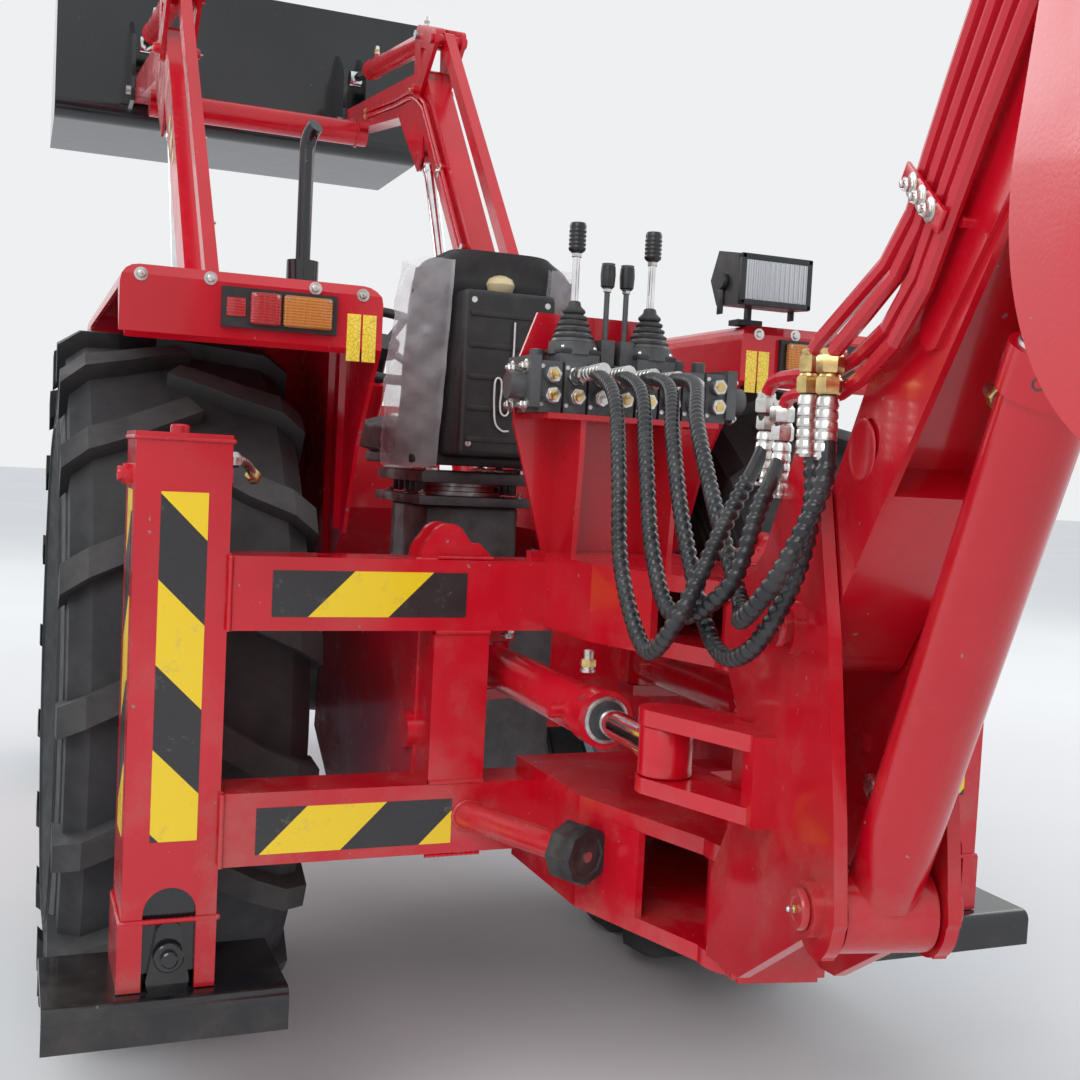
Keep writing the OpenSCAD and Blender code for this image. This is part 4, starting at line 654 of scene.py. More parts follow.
class TurnedForms(Forms):
    def turned(self, finish, at, axis, profile, sides=24, spin=0.0):
        """profile is a list of (distance along the axis, radius), from end to end."""
        axis, side, other = square_to(axis)
        at = Vector(at)
        verts = [at + axis * d + (side * math.cos(a) + other * math.sin(a)) * r
                 for d, r in profile for a in (spin + 2 * math.pi * k / sides for k in range(sides))]
        self.add(finish, verts, tube_faces(len(profile), sides))

    def nut(self, finish, at, axis, width, height, spin=0.0):
        r = width / math.sqrt(3)
        self.turned(finish, at, axis, [(0, r * 0.9), (height * 0.12, r), (height * 0.85, r),
                                       (height, r * 0.86)], 6, spin)

    def bolt(self, at, axis, width, washer=True):
        at, axis = Vector(at), Vector(axis).normalized()
        if washer:
            self.turned("zinc", at, axis, [(0, width * 0.95), (width * 0.1, width * 0.95),
                                           (width * 0.14, width * 0.88)], 20)
        self.nut("zinc", at + axis * width * 0.13, axis, width, width * 0.6, 0.4)
        self.turned("zinc", at + axis * width * 0.7, axis,
                    [(0, width * 0.32), (width * 0.22, width * 0.32), (width * 0.28, width * 0.24)], 14)


print("turned forms:", [name for name in vars(TurnedForms) if name[0] != "_"])

# %% [markdown]
# ## Tubes
# A tube carries its ring of points along a line without twisting it: each ring's side direction is the last
# one's, laid square to the line again. Its radius may change along the line and round it.

# %% Swept forms
class SweptForms(TurnedForms):
    def swept(self, finish, line, radius, sides=12):
        """radius is a number, or a function of the distance along and the angle round."""
        line = [Vector(p) for p in line]
        run, dists = 0.0, [0.0]
        for a, b in zip(line, line[1:]):
            run += (b - a).length
            dists.append(run)
        verts, side = [], None
        for i, p in enumerate(line):
            ahead = (line[min(i + 1, len(line) - 1)] - line[max(i - 1, 0)]).normalized()
            if side is None:
                side = square_to(ahead)[1]
            side = (side - ahead * side.dot(ahead)).normalized()
            other = ahead.cross(side)
            for k in range(sides):
                a = 2 * math.pi * k / sides
                r = radius(dists[i], a) if callable(radius) else radius
                verts.append(p + (side * math.cos(a) + other * math.sin(a)) * r)
        self.add(finish, verts, tube_faces(len(line), sides))


print("swept forms:", [name for name in vars(SweptForms) if name[0] != "_"])

# %% [markdown]
# ## Blocks and plates
# A block has eased edges, because nothing that was machined or moulded has a knife edge. A plate is an
# outline with a small chamfer at each face.

# %% Eased and cut forms
class Tray(SweptForms):
    def block(self, finish, centre, size, ease=0.004, axes=None, steps=2):
        """A block with eased edges; axes are its own three directions in the row."""
        form = bmesh.new()
        bmesh.ops.create_cube(form, size=1.0)
        bmesh.ops.scale(form, vec=size, verts=form.verts)
        bmesh.ops.bevel(form, geom=form.edges[:], offset=min(ease, min(size) * 0.45), segments=steps,
                        affect="EDGES", profile=0.6)
        axes = [Vector(a) for a in axes or (AHEAD, Y, UP)]
        centre = Vector(centre)
        verts = [centre + axes[0] * v.co.x + axes[1] * v.co.y + axes[2] * v.co.z for v in form.verts]
        faces = [[v.index for v in face.verts] for face in form.faces]
        form.free()
        self.add(finish, verts, faces)

    def plate(self, finish, outline, through, ease=0.0015):
        """Flat plate cut to an outline of points and as thick as the vector through."""
        outline, through = [Vector(p) for p in outline], Vector(through)
        middle = sum(outline, Vector()) / len(outline)
        reach = max((p - middle).length for p in outline)
        rings = []
        for share, shrink in ((0, 1), (0, 0), (1, 0), (1, 1)):
            step = through.normalized() * (ease if share == 0 and not shrink else
                                           -ease if share and not shrink else 0)
            rings.append([p + through * share + step - (p - middle) * (shrink * ease / reach)
                          for p in outline])
        self.add(finish, [v for ring in rings for v in ring], tube_faces(len(rings), len(outline)))


print("block forms:", [name for name in vars(Tray) if name[0] != "_"])

# %% [markdown]
# ## Smooth lines
# A hose or a pipe is drawn as a few points with a smooth curve through them, and is then cut into even steps,
# so that a wave in its radius keeps one pitch all along it.

# %% Curve through points
def curve_at(points, u):
    """The same smooth curve as in the part's source: it passes through every point."""
    i = min(int(u), len(points) - 2)
    t = u - i
    a, b, c = points[max(i - 1, 0)], points[i], points[i + 1]
    d = points[min(i + 2, len(points) - 1)]
    return (2 * b + (c - a) * t + (2 * a - 5 * b + 4 * c - d) * t * t
            + (3 * b - a - 3 * c + d) * t * t * t) / 2


def even_line(points, u0, u1, step):
    """Points a step apart along the curve from u0 to u1."""
    fine = [curve_at(points, u0 + (u1 - u0) * k / 600) for k in range(601)]
    length = sum((b - a).length for a, b in zip(fine, fine[1:]))
    count = max(2, round(length / step))
    line, walked, k = [fine[0]], 0.0, 0
    for n in range(1, count):
        goal = length * n / count
        while walked + (fine[k + 1] - fine[k]).length < goal:
            walked += (fine[k + 1] - fine[k]).length
            k += 1
        share = (goal - walked) / (fine[k + 1] - fine[k]).length
        line.append(fine[k].lerp(fine[k + 1], share))
    return line + [fine[-1]], length


test_line, test_length = even_line([Vector((x, 0, 0)) for x in range(4)], 0, 3, 0.5)
print("a straight test line of", round(test_length, 3), "m has", len(test_line), "points")

# %% [markdown]
# ## Hoses from the valve to the boom
# Four pressure hoses leave the valve bank, sag in a bundle beside the swing tower and rise to the pipes on
# the boom. They are stiff, about 22 mm over the guard, and each hangs in one smooth loop. Each route starts
# square to its port, passes through a few points that were placed from the picture, and ends in line with
# its pipe.

# %% Hose routes
pipe_starts = [(185, 80, 1362), (248, 80, 1348), (398, 104, 1400), (454, 104, 1396)]
hose_ys = [117.5, 70.5, 23.5, -23.5]
hose_mids = [
    [(-1240, 152, 1392), (-1372, 200, 1280), (-1452, 226, 1140), (-1560, 236, 1040), (-1650, 238, 1092),
     (-1656, 176, 1225)],
    [(-1255, 112, 1400), (-1395, 168, 1300), (-1490, 198, 1170), (-1590, 212, 1090), (-1700, 196, 1138),
     (-1716, 168, 1240)],
    [(-1260, 66, 1412), (-1400, 128, 1330), (-1520, 166, 1200), (-1640, 180, 1062), (-1760, 198, 1066),
     (-1830, 186, 1160), (-1842, 174, 1260)],
    [(-1270, 26, 1420), (-1420, 100, 1352), (-1550, 138, 1240), (-1670, 160, 1120), (-1800, 232, 1112),
     (-1880, 232, 1180), (-1898, 200, 1275)],
]


def hose_route(i):
    end = on_hoe(*pipe_starts[i]) - Vector((0, 0, 0.0003))
    y = hose_ys[i]
    return [on_machine(-1018, y, 1438), on_machine(-1090, y, 1438), *(on_machine(*p) for p in hose_mids[i]),
            end - Vector((0, 0, 0.045)), end]


print("points on each hose:", [len(hose_route(i)) for i in range(4)])

# %% [markdown]
# ## Spiral guards
# The guard is a plastic strip wound round the hose, so its surface is a helix of round turns: the radius of
# the swept tube follows a wave that advances with the angle. The tower swings and the boom lifts; each hose
# is made as two cords that meet at the low point, and neither cord is attached to a body.

# %% Sweep the hoses
TURN_PITCH = 0.0145
BARE = 0.1


def guarded(bare):
    """Radius of a hose whose guard starts a little way from each end that has a fitting."""
    def radius(along, angle):
        turn = math.cos(2 * math.pi * along / TURN_PITCH - angle)
        wound = 0.0112 + 0.0014 * turn - 0.0006 * turn * turn
        return 0.0096 if bare(along) else wound
    return radius


low_halves, high_halves = [], []
for i in range(4):
    route = hose_route(i)
    for half, (u0, u1) in (("lower", (0, 5)), ("upper", (5, len(route) - 1))):
        line, length = even_line(route, u0, u1, 0.0026)
        hose = Tray(f"hose_{i + 1}_{half}")
        bare = (lambda d: d < BARE) if half == "lower" else (lambda d, e=length: d > e - BARE)
        hose.swept("guard_plastic", line, guarded(bare), 14)
        piece = hose.made(smooth=60)
        (low_halves if half == "lower" else high_halves).append((piece, line, length))
print("hose lengths:", [round(a[2] + b[2], 3) for a, b in zip(low_halves, high_halves)])

# %% [markdown]
# ## Ends of the hoses
# A hose ends in a crimped sleeve and a swivel nut. At the valve the nut sits on the port; at the boom it
# holds the red pipe. Sleeves are zinc plated, and some nuts are brass.

# %% Crimped sleeves and swivel nuts
def sleeve(tray, at, axis, nut_finish, reach=0.062):
    """A ribbed sleeve from the point at towards the hose, with its nut behind it."""
    rings = [(0, 0.009)]
    for k in range(5):
        d = 0.004 + reach * k / 5
        rings += [(d, 0.0122), (d + reach * 0.13, 0.0128), (d + reach * 0.15, 0.0117),
                  (d + reach * 0.19, 0.0117)]
    rings += [(reach + 0.006, 0.0125), (reach + 0.01, 0.0104)]
    tray.turned("zinc", at, axis, rings, 24)
    tray.nut(nut_finish, Vector(at) - Vector(axis).normalized() * 0.02, axis, 0.026, 0.019, 0.3)
    tray.turned(nut_finish, Vector(at) - Vector(axis).normalized() * 0.0235, axis,
                [(0, 0.0112), (0.003, 0.0125), (0.005, 0.011)], 20)


valve_ends, boom_ends = [], []
for i, ((low, low_line, _), (high, high_line, _)) in enumerate(zip(low_halves, high_halves)):
    tray = Tray(f"valve_sleeve_{i + 1}")
    sleeve(tray, low_line[9], low_line[14] - low_line[9], "brass" if i in (1, 2) else "zinc")
    valve_ends.append(tray.made("machine"))
    tray = Tray(f"boom_sleeve_{i + 1}")
    sleeve(tray, high_line[-10], high_line[-14] - high_line[-10], "zinc" if i in (0, 1) else "brass")
    boom_ends.append(tray.made("boom"))

# %% [markdown]
# ## Where the hose cords stay
# The lower half hangs from the valve and the upper half rises to the boom's pipes. Both keep the place where
# they were drawn and ride on no body, and the packed hoses are hidden. The fittings ride on the body that
# they're screwed to.

for i, ((low, low_line, low_long), (high, high_line, high_long)) in enumerate(zip(low_halves, high_halves)):
    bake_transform(low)
    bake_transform(high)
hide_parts("hoe_hoses_lower")
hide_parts("hoe_hoses_upper")
print("hoses declared:", 2 * len(low_halves))

# %% [markdown]
# ## Warning tape
# Striped reflective tape is stuck on the backs of the stabilizer legs and of both beams. It is a thin strip
# that lies on the paint, so each strip is a plate under a millimetre thick. The stripes slope down and out
# on the beams and down and in on the legs, mirrored on the right, and a strip's start sets its first corner.

# %% Tape on legs and beams
PITCH = 0.274
TAPE, TAPE_EDGE = 0.0008, 0.0003
strips = []
for s, side in SIDES:
    for place, across, start in (("leg", (0, -s, 1), 0.119), ("upper", (0, s, 1), 0.076),
                                 ("lower", (0, s, 1), 0.021), ("flank", (1, 0, 1), 0.05)):
        striped_tape(f"tape_{side}_{place}", across, PITCH, start)
    strips += [(f"tape_{side}_leg", -985, (738, 812), (643, 1208), s),
               (f"tape_{side}_upper", -995, (298, 633), (1010, 1087), s),
               (f"tape_{side}_lower", -995, (307, 645), (615, 693), s)]
tape = Tray("warning_tape")
for finish, x, (y0, y1), (z0, z1), s in strips:
    tape.plate(finish, [on_machine(x, s * y, z) for y, z in ((y0, z0), (y1, z0), (y1, z1), (y0, z1))],
               BACK * TAPE, TAPE_EDGE)
for s, side in SIDES:
    tape.plate(f"tape_{side}_flank", [on_machine(x, s * 852, z) for x, z in
                                      ((-940, 643), (-866, 643), (-866, 1208), (-940, 1208))],
               Y * s * TAPE, TAPE_EDGE)
tape.made("machine")

# %% [markdown]
# ## Weld beads
# Every joint of this hand-built frame is a fillet weld under the paint, with a ripple every eight or nine
# millimetres where the arc paused. A bead is a swept round whose radius follows those ripples, half sunk in
# the corner that it fills.

# %% A bead along corners
def weld(tray, corners, radius=0.0045):
    line = []
    for a, b in zip(corners, corners[1:]):
        a, b = Vector(a), Vector(b)
        count = max(2, int((b - a).length / 0.0035))
        line += [a.lerp(b, k / count) for k in range(count)]
    line.append(Vector(corners[-1]))
    tray.swept("red_gloss", line, lambda d, a: radius * (1 + 0.16 * math.cos(2 * math.pi * d / 0.0085)
                                                        + 0.06 * math.sin(d * 71)), 7)


def rectangle(corner, across, along):
    corner, across, along = Vector(corner), Vector(across), Vector(along)
    return [corner, corner + across, corner + across + along, corner + along, corner]


STOP_TURN = math.radians(22)


def stop_foot(s):
    """Where a bumper stop's tube leaves the lower beam."""
    return on_machine(-965, s * 290, 662)


def stop_way(s):
    return Vector((-math.cos(STOP_TURN), -s * math.sin(STOP_TURN), 0))


print("a stop points to", [round(v, 3) for v in stop_way(1)])

# %% [markdown]
# ## Frame welds
# The stabilizer sleeves are boxed in with a bead at their feet and their tops, the two beams are welded to
# them and to the side plates, and a bead runs round each bumper tube where it leaves the lower beam.

# %% Beads on the frame and legs
beads = Tray("frame_welds")
for s in (1, -1):
    weld(beads, rectangle(on_machine(-986, s * 701, 513), (0, s * 0.152, 0), (0.167, 0, 0)))
    weld(beads, rectangle(on_machine(-986, s * 701, 1292), (0, s * 0.152, 0), (0.167, 0, 0)), 0.0035)
    for z in (597, 987):
        for edge in (z - 4, z + 126):
            weld(beads, [on_machine(-992, s * y, edge) for y in (352, 252)], 0.003)
        weld(beads, [on_machine(-996, s * 701, z), on_machine(-996, s * 701, z + 122)])
        weld(beads, [on_machine(x, s * 701, z + 122) for x in (-900, -990)], 0.0035)
    for x, y0, y1, z in ((-994, 352, 252, 722), (-994, 352, 252, 984), (-984, 390, 262, 1108)):
        weld(beads, [on_machine(x, s * y, z) for y in (y0, y1)], 0.004)
    ring = [stop_foot(s) + stop_way(s) * 0.034 + Vector((0, math.cos(a) * 0.027, math.sin(a) * 0.025))
            for a in full_turn(24)]
    weld(beads, ring, 0.004)
beads.made("machine", 60)

# %% [markdown]
# ## Stabilizer ends
# The cylinder inside a leg hangs from a pin through the sleeve's top, and its hose fittings come out at the
# inner side: a curved one and a brass nut. Below, a black foot hinges in the round-topped notch on a pin with
# a turned and hollowed head. A pin head can carry a grease nipple: these don't, the hoe's and loader's do.

# %% Leg pins and fittings
def nipple(tray, at, axis):
    tray.nut("brass", at, axis, 0.009, 0.004)
    tray.turned("zinc", Vector(at) + Vector(axis).normalized() * 0.004, axis,
                [(0, 0.0028), (0.004, 0.0028), (0.0055, 0.0036), (0.008, 0.002)], 12)


def pin_head(tray, at, axis, radius, greased=True):
    at, axis = Vector(at), Vector(axis).normalized()
    tray.turned("red_gloss", at, axis,
                [(0, radius), (0.006, radius), (0.0085, radius * 0.93), (0.0085, radius * 0.6),
                 (0.0072, radius * 0.55), (0.0072, radius * 0.2)], 32)
    if greased:
        nipple(tray, at + axis * 0.0072, axis)


legs = Tray("leg_fittings")
for s in (1, -1):
    pin_head(legs, on_machine(-902.5, s * 865, 1232), (0, s, 0), 0.0125, greased=False)
    legs.turned("red_gloss", on_machine(-902.5, s * 777, 1302), UP,
                [(0, 0.016), (0.012, 0.016), (0.015, 0.012), (0.015, 0.005)], 24)
    port = on_machine(-870, s * 689, 1262)
    legs.nut("zinc", port, (0.3, -s, 0), 0.024, 0.016)
    legs.swept("zinc", [port + Vector((0.006 * k, -s * (0.014 + 0.004 * k), -0.00035 * k * k))
                        for k in range(9)], 0.008, 14)
    legs.nut("brass", on_machine(-822, s * 645, 1240), (0.5, -s * 0.4, -0.5), 0.024, 0.018)
legs.made("machine")
for s, side in SIDES:
    foot_pin = Tray(f"foot_pin_{side}")
    for way in (BACK, AHEAD):
        foot_pin.turned("black_gloss", on_machine(-902.5, s * 777, 456) + way * 0.0935, way,
                        [(0, 0.024), (0.004, 0.024), (0.006, 0.022), (0.006, 0.014), (0.014, 0.0135),
                         (0.016, 0.011)], 28)
    foot_pin.made(f"leg_{side}")
print("tape, welds and legs made")

# %% [markdown]
# ## Pins of the hoe
# The boom turns on a thick pin through two bosses on the swing tower, its cylinder turns on a second pin
# below, and the dipper turns on a third at the knee. Each pin shows a turned head with a grease nipple in its
# middle, and the kingpost has a dished cap at each end. The heads ride on the body whose boss they sit on.

# %% Pin heads on the hoe
FOOT = (312, 1095)
CYLINDER_FOOT = (437, 787)
KNEE = (1820.1, 2674.2)


def pin_pair(tray, spot, half, radius):
    for s in (1, -1):
        pin_head(tray, on_hoe(spot[0], s * half, spot[1]), LEFT * s, radius)


tower = Tray("tower_pins")
pin_pair(tower, FOOT, 90, 0.0255)
pin_pair(tower, CYLINDER_FOOT, 90, 0.024)
for z, way in ((1097, 1), (581, -1)):
    tower.turned("red_gloss", on_hoe(0, 0, z), UP * way, [(0, 0.046), (0.004, 0.046), (0.006, 0.043),
                                                         (0.006, 0.012), (0.004, 0.01)], 36)
tower.made("swing_tower")
knee_pins = Tray("boom_pins")
pin_pair(knee_pins, KNEE, 88, 0.023)
knee_pins.made("boom")

# %% [markdown]
# ## Numbers along the boom
# The boom leans, so its fittings are placed by the distance along it and above its middle line. Its side
# plates grow taller towards the knee, and a fitting that follows their edge asks for their half height.

# %% Along and across the boom
ANGLE = math.atan2(2013.4 - FOOT[1], 1004.1 - FOOT[0])


def on_boom(a, b, y):
    """a along the lower boom from its foot, b up from its middle line, y left of its middle, in mm."""
    return on_hoe(FOOT[0] + a * math.cos(ANGLE) - b * math.sin(ANGLE), y,
                  FOOT[1] + a * math.sin(ANGLE) + b * math.cos(ANGLE))


ALONG = on_boom(1000, 0, 0) - on_boom(0, 0, 0)
ACROSS = on_boom(0, 1000, 0) - on_boom(0, 0, 0)


def round_ended(a0, b0, r0, a1, b1, r1, y, steps=14):
    """Outline of a plate with two round ends, y left of the boom's middle."""
    points = []
    lean = math.atan2(b1 - b0, a1 - a0)
    for (a, b, r), turn in (((a0, b0, r0), math.pi / 2), ((a1, b1, r1), -math.pi / 2)):
        points += [on_boom(a + r * math.cos(lean + turn + math.pi * k / steps),
                           b + r * math.sin(lean + turn + math.pi * k / steps), y) for k in range(steps + 1)]
    return points


def half_height(a):
    return 52 + 50 * a / 1150


print("boom leans", round(math.degrees(ANGLE), 1), "degrees")

# %% [markdown]
# ## Boom details
# The four pipes are held by clamp strips on their saddles, and end in a drilled block with a union nut each.
# Where the boom's side plates carry the dipper cylinder, round-ended doublers are welded on and edged with a
# bead. A pressed round recess above the foot gives room to a tool.

# %% Clamps, unions, doublers and the recess
boom_bits = Tray("boom_fittings")
for a in (560, 800):
    half = half_height(a)
    boom_bits.block("red_gloss", on_boom(a, 0.33 * half, 91.5), (0.024, 0.005, 1.42 * half / 1000), 0.002,
                    (ALONG, LEFT, ACROSS))
    for share in (-0.04, 0.66, 0.3):
        boom_bits.bolt(on_boom(a, share * half, 94), LEFT, 0.013)
for i, share in enumerate((0.12, -0.2, 0.84, 0.48)):
    at = on_boom(1009, share * half_height(1010), 80)
    boom_bits.nut("zinc", at, -ALONG, 0.024, 0.02, 0.2 * i)
    boom_bits.turned("zinc", at - ALONG * 0.02, -ALONG, [(0, 0.0115), (0.005, 0.0115), (0.008, 0.0095)], 20)
    start = on_hoe(*pipe_starts[i])
    metal = "zinc" if i < 2 else "brass"
    boom_bits.nut(metal, start + UP * 0.001, UP, 0.027, 0.02, 0.5 * i)
    boom_bits.turned(metal, start + UP * 0.021, UP, [(0, 0.0125), (0.004, 0.0125), (0.007, 0.0097)], 20)
for s in (1, -1):
    way = LEFT * s * 0.006
    boom_bits.plate("red_gloss", round_ended(880, 4, 58, 1090, -4, 82, s * 57.5), way, 0.002)
    weld(boom_bits, round_ended(880, 4, 58, 1090, -4, 82, s * 59.5), 0.004)
    centre = on_boom(255, 24, s * 57.6)
    boom_bits.turned("red_gloss", centre, LEFT * s,
                     [(0, 0.037), (0.0011, 0.036), (0.0015, 0.033), (0.001, 0.03), (0.0002, 0.026),
                      (0.0002, 0.002)], 40)
for y in (-56, 56):
    weld(boom_bits, [on_boom(330, 63, y), on_boom(1080, 96, y)], 0.003)
boom_bits.made("boom")

# %% [markdown]
# ## Cylinder ends
# A hydraulic cylinder shows a screwed gland with a wiper ring where the chrome rod comes out, four spanner
# holes round it, and a union on each port. The ports are alike on all of these cylinders, so one function
# dresses eight of them from their two eyes, with the direction in which its ports stand.

# %% Glands, wipers and port unions
def dress_cylinder(name, base, eye, up, length, radius, rod_r, eye_r):
    base, eye = Vector(base), Vector(eye)
    way = (eye - base).normalized()
    up = (Vector(up) - way * Vector(up).dot(way)).normalized()
    tray = Tray(name)
    front = base + way * length
    tray.turned("turned_steel", front - way * 0.0005, way,
                [(0, radius - 0.003), (0.004, radius - 0.004), (0.006, radius - 0.008),
                 (0.006, rod_r + 0.008)], 40)
    tray.turned("boot_rubber", front + way * 0.005, way,
                [(0, rod_r + 0.0085), (0.004, rod_r + 0.0075), (0.006, rod_r + 0.004),
                 (0.007, rod_r + 0.0006)], 40)
    across = way.cross(up)
    for k in range(4):
        a = math.pi / 4 + math.pi * k / 2
        spot = (up * math.cos(a) + across * math.sin(a)) * (radius + 0.004)
        tray.turned("casting", front - way * 0.022 + spot, spot.normalized(),
                    [(0, 0.006), (0.0016, 0.006), (0.0016, 0.0045), (0.0004, 0.004)], 16)
    for d in (eye_r + 0.06, length - 0.08):
        port = base + way * d + up * (radius + 0.0215)
        tray.turned("zinc", port, up, [(0, 0.0125), (0.004, 0.0125), (0.005, 0.0105), (0.009, 0.0105)], 20)
        tray.nut("brass" if d > 0.2 else "zinc", port + up * 0.008, up, 0.023, 0.013, 0.3)
        tray.turned("zinc", port + up * 0.021, up, [(0, 0.0085), (0.012, 0.0085), (0.0145, 0.006)], 18)
    return tray


print("cylinder dresser ready")

# %% [markdown]
# ## Eight cylinders
# The two swing cylinders lie level, the loader's four stand beside its arms, and the boom and the dipper
# have one each. Ports stand square to the rod, on its upper side.

# %% Dress the cylinders
SWING_EYES = {"left": (-63.5, 182.2), "right": (-132.1, -140.6)}
for s, side in SIDES:
    x, y = SWING_EYES[side]
    dress_cylinder(f"swing_cylinder_{side}", on_machine(-770, s * 170, 895),
                   on_machine(-KINGPOST + x, y, 895), UP, 0.56, 0.04, 0.022, 0.038
                   ).made(f"swing_barrel_{side}")
for body, (x0, z0), (x1, z1), sizes in (
        ("lift_barrels", (1150, 760), (2040, 2480), (1.13, 0.048, 0.026, 0.048)),
        ("tilt_barrels", (2070, 2980), (3400, 3150), (1.0, 0.042, 0.022, 0.044))):
    for s, side in SIDES:
        dress_cylinder(f"{body[:4]}_cylinder_{side}", on_machine(x0, s * 500, z0),
                       on_machine(x1, s * 500, z1), Vector((-(z1 - z0), 0, x1 - x0)), *sizes).made(body)
for body, (r0, z0), (r1, z1), sizes in (
        ("boom_barrel", CYLINDER_FOOT, (947.3, 1833.4), (0.69, 0.043, 0.025, 0.05)),
        ("dipper_barrel", (885.4, 2128.1), (1888.7, 2997), (0.73, 0.042, 0.024, 0.042))):
    dress_cylinder(body.replace("barrel", "cylinder"), on_hoe(r0, 0, z0), on_hoe(r1, 0, z1),
                   OUT * -(z1 - z0) + UP * (r1 - r0), *sizes).made(body)

for side, (x, y) in SWING_EYES.items():
    eye = Tray(f"swing_rod_eye_{side}")
    eye.turned("red_gloss", on_machine(-KINGPOST + x, y, 860.4), UP,
               [(0, 0.0362), (0.002, 0.0378), (0.067, 0.0378), (0.0692, 0.0362), (0.0692, 0.0215)], 40)
    eye.made(f"swing_rod_{side}")

# %% [markdown]
# ## Valve bank and levers
# The sectional valve is cast blocks held by through-bolts. Two pleated rubber boots fold round its levers so
# that dirt stays out: each is a turned form whose radius steps in and out six times while it tapers. Grips
# are ribbed black plastic.

# %% Boots, levers and grips
valve = Tray("valve_fittings")
for y in (-43, 108):
    at = on_machine(-956, y, 1479)
    valve.block("boot_rubber", at + UP * 0.0035, (0.08, 0.08, 0.009), 0.003)
    pleats = [(0.008, 0.039)]
    for k in range(6):
        d, r = 0.014 + 0.0115 * k, 0.0425 - 0.0043 * k
        pleats += [(d, r * 0.8), (d + 0.003, r * 0.97), (d + 0.006, r), (d + 0.0085, r * 0.94)]
    pleats += [(0.086, 0.013), (0.094, 0.011), (0.096, 0.0075)]
    valve.turned("boot_rubber", at, UP, pleats, 36)
    grip = [(0, 0.0095), (0.004, 0.0145)]
    for k in range(5):
        grip += [(0.008 + 0.0075 * k, 0.0158), (0.0105 + 0.0075 * k, 0.0146), (0.0125 + 0.0075 * k, 0.0146)]
    grip += [(0.048, 0.0152), (0.0515, 0.0138), (0.053, 0.009), (0.0533, 0.004)]
    valve.turned("grip_plastic", on_machine(-956, y, 1660), UP, grip, 28)
    valve.turned("chrome", on_machine(-956, y, 1572), UP, [(0, 0.0066), (0.09, 0.0064)], 16)
    valve.nut("zinc", on_machine(-956, y, 1652), UP, 0.017, 0.008)
    for dx in (-30, 30):
        for dy in (-30, 30):
            valve.bolt(on_machine(-956 + dx, y + dy, 1486), UP, 0.008, washer=False)
for y in (8, 46):
    valve.turned("grip_plastic", on_machine(-959, y, 1602), UP,
                 [(0, 0.008), (0.004, 0.0125), (0.024, 0.0138), (0.04, 0.0128), (0.045, 0.008),
                  (0.0462, 0.003)], 24)
    valve.nut("zinc", on_machine(-959, y, 1596), UP, 0.014, 0.007)
print("boots and levers:", len(valve.faces), "faces")

# %% [markdown]
# ## Ports of the valve
# Each section has two ports in its rear face. Four of the upper ones feed the hoses and get a lock nut, the
# others are plugged, and small screws and a round cap belong to each section. Four long bolts hold the
# sections together at each end.

# %% Port plugs, caps and through-bolts
for k in range(8):
    y = (k - 3.5) * 47
    for z in (1402, 1438):
        if z == 1438 and round(y, 1) in hose_ys:
            valve.nut("zinc", on_machine(-1003, y, z), BACK, 0.03, 0.012)
            continue
        at = on_machine(-1013, y, z)
        valve.nut("zinc", at, BACK, 0.025, 0.006, 0.3 * k)
        valve.turned("brass" if (k + z) % 3 else "zinc", at - Vector((0.005, 0, 0)), BACK,
                     [(0, 0.009), (0.0025, 0.009), (0.0035, 0.007)], 18)
    for z in (1386, 1452):
        valve.turned("zinc", on_machine(-1001.6, y + 16, z), BACK, [(0, 0.0042), (0.001, 0.004)], 12)
    valve.turned("turned_steel", on_machine(-929, y, 1485.5), UP,
                 [(0, 0.011), (0.001, 0.0105), (0.001, 0.003)], 20)
for s in (1, -1):
    for x in (-985, -918):
        for z in (1384, 1450):
            valve.bolt(on_machine(x, s * 205, z), (0, s, 0), 0.014)
valve.made("machine")

# %% [markdown]
# ## Seat
# The seat is a black vinyl cushion and back on a moulded shell, still in the clear film it was shipped in. A
# cushion is a closed form that is crowned in the middle and pulled in between its corners by its seams. A
# cube is subdivided, pushed out to a rounded block, crowned by a smooth bulge and pinched at the seam.

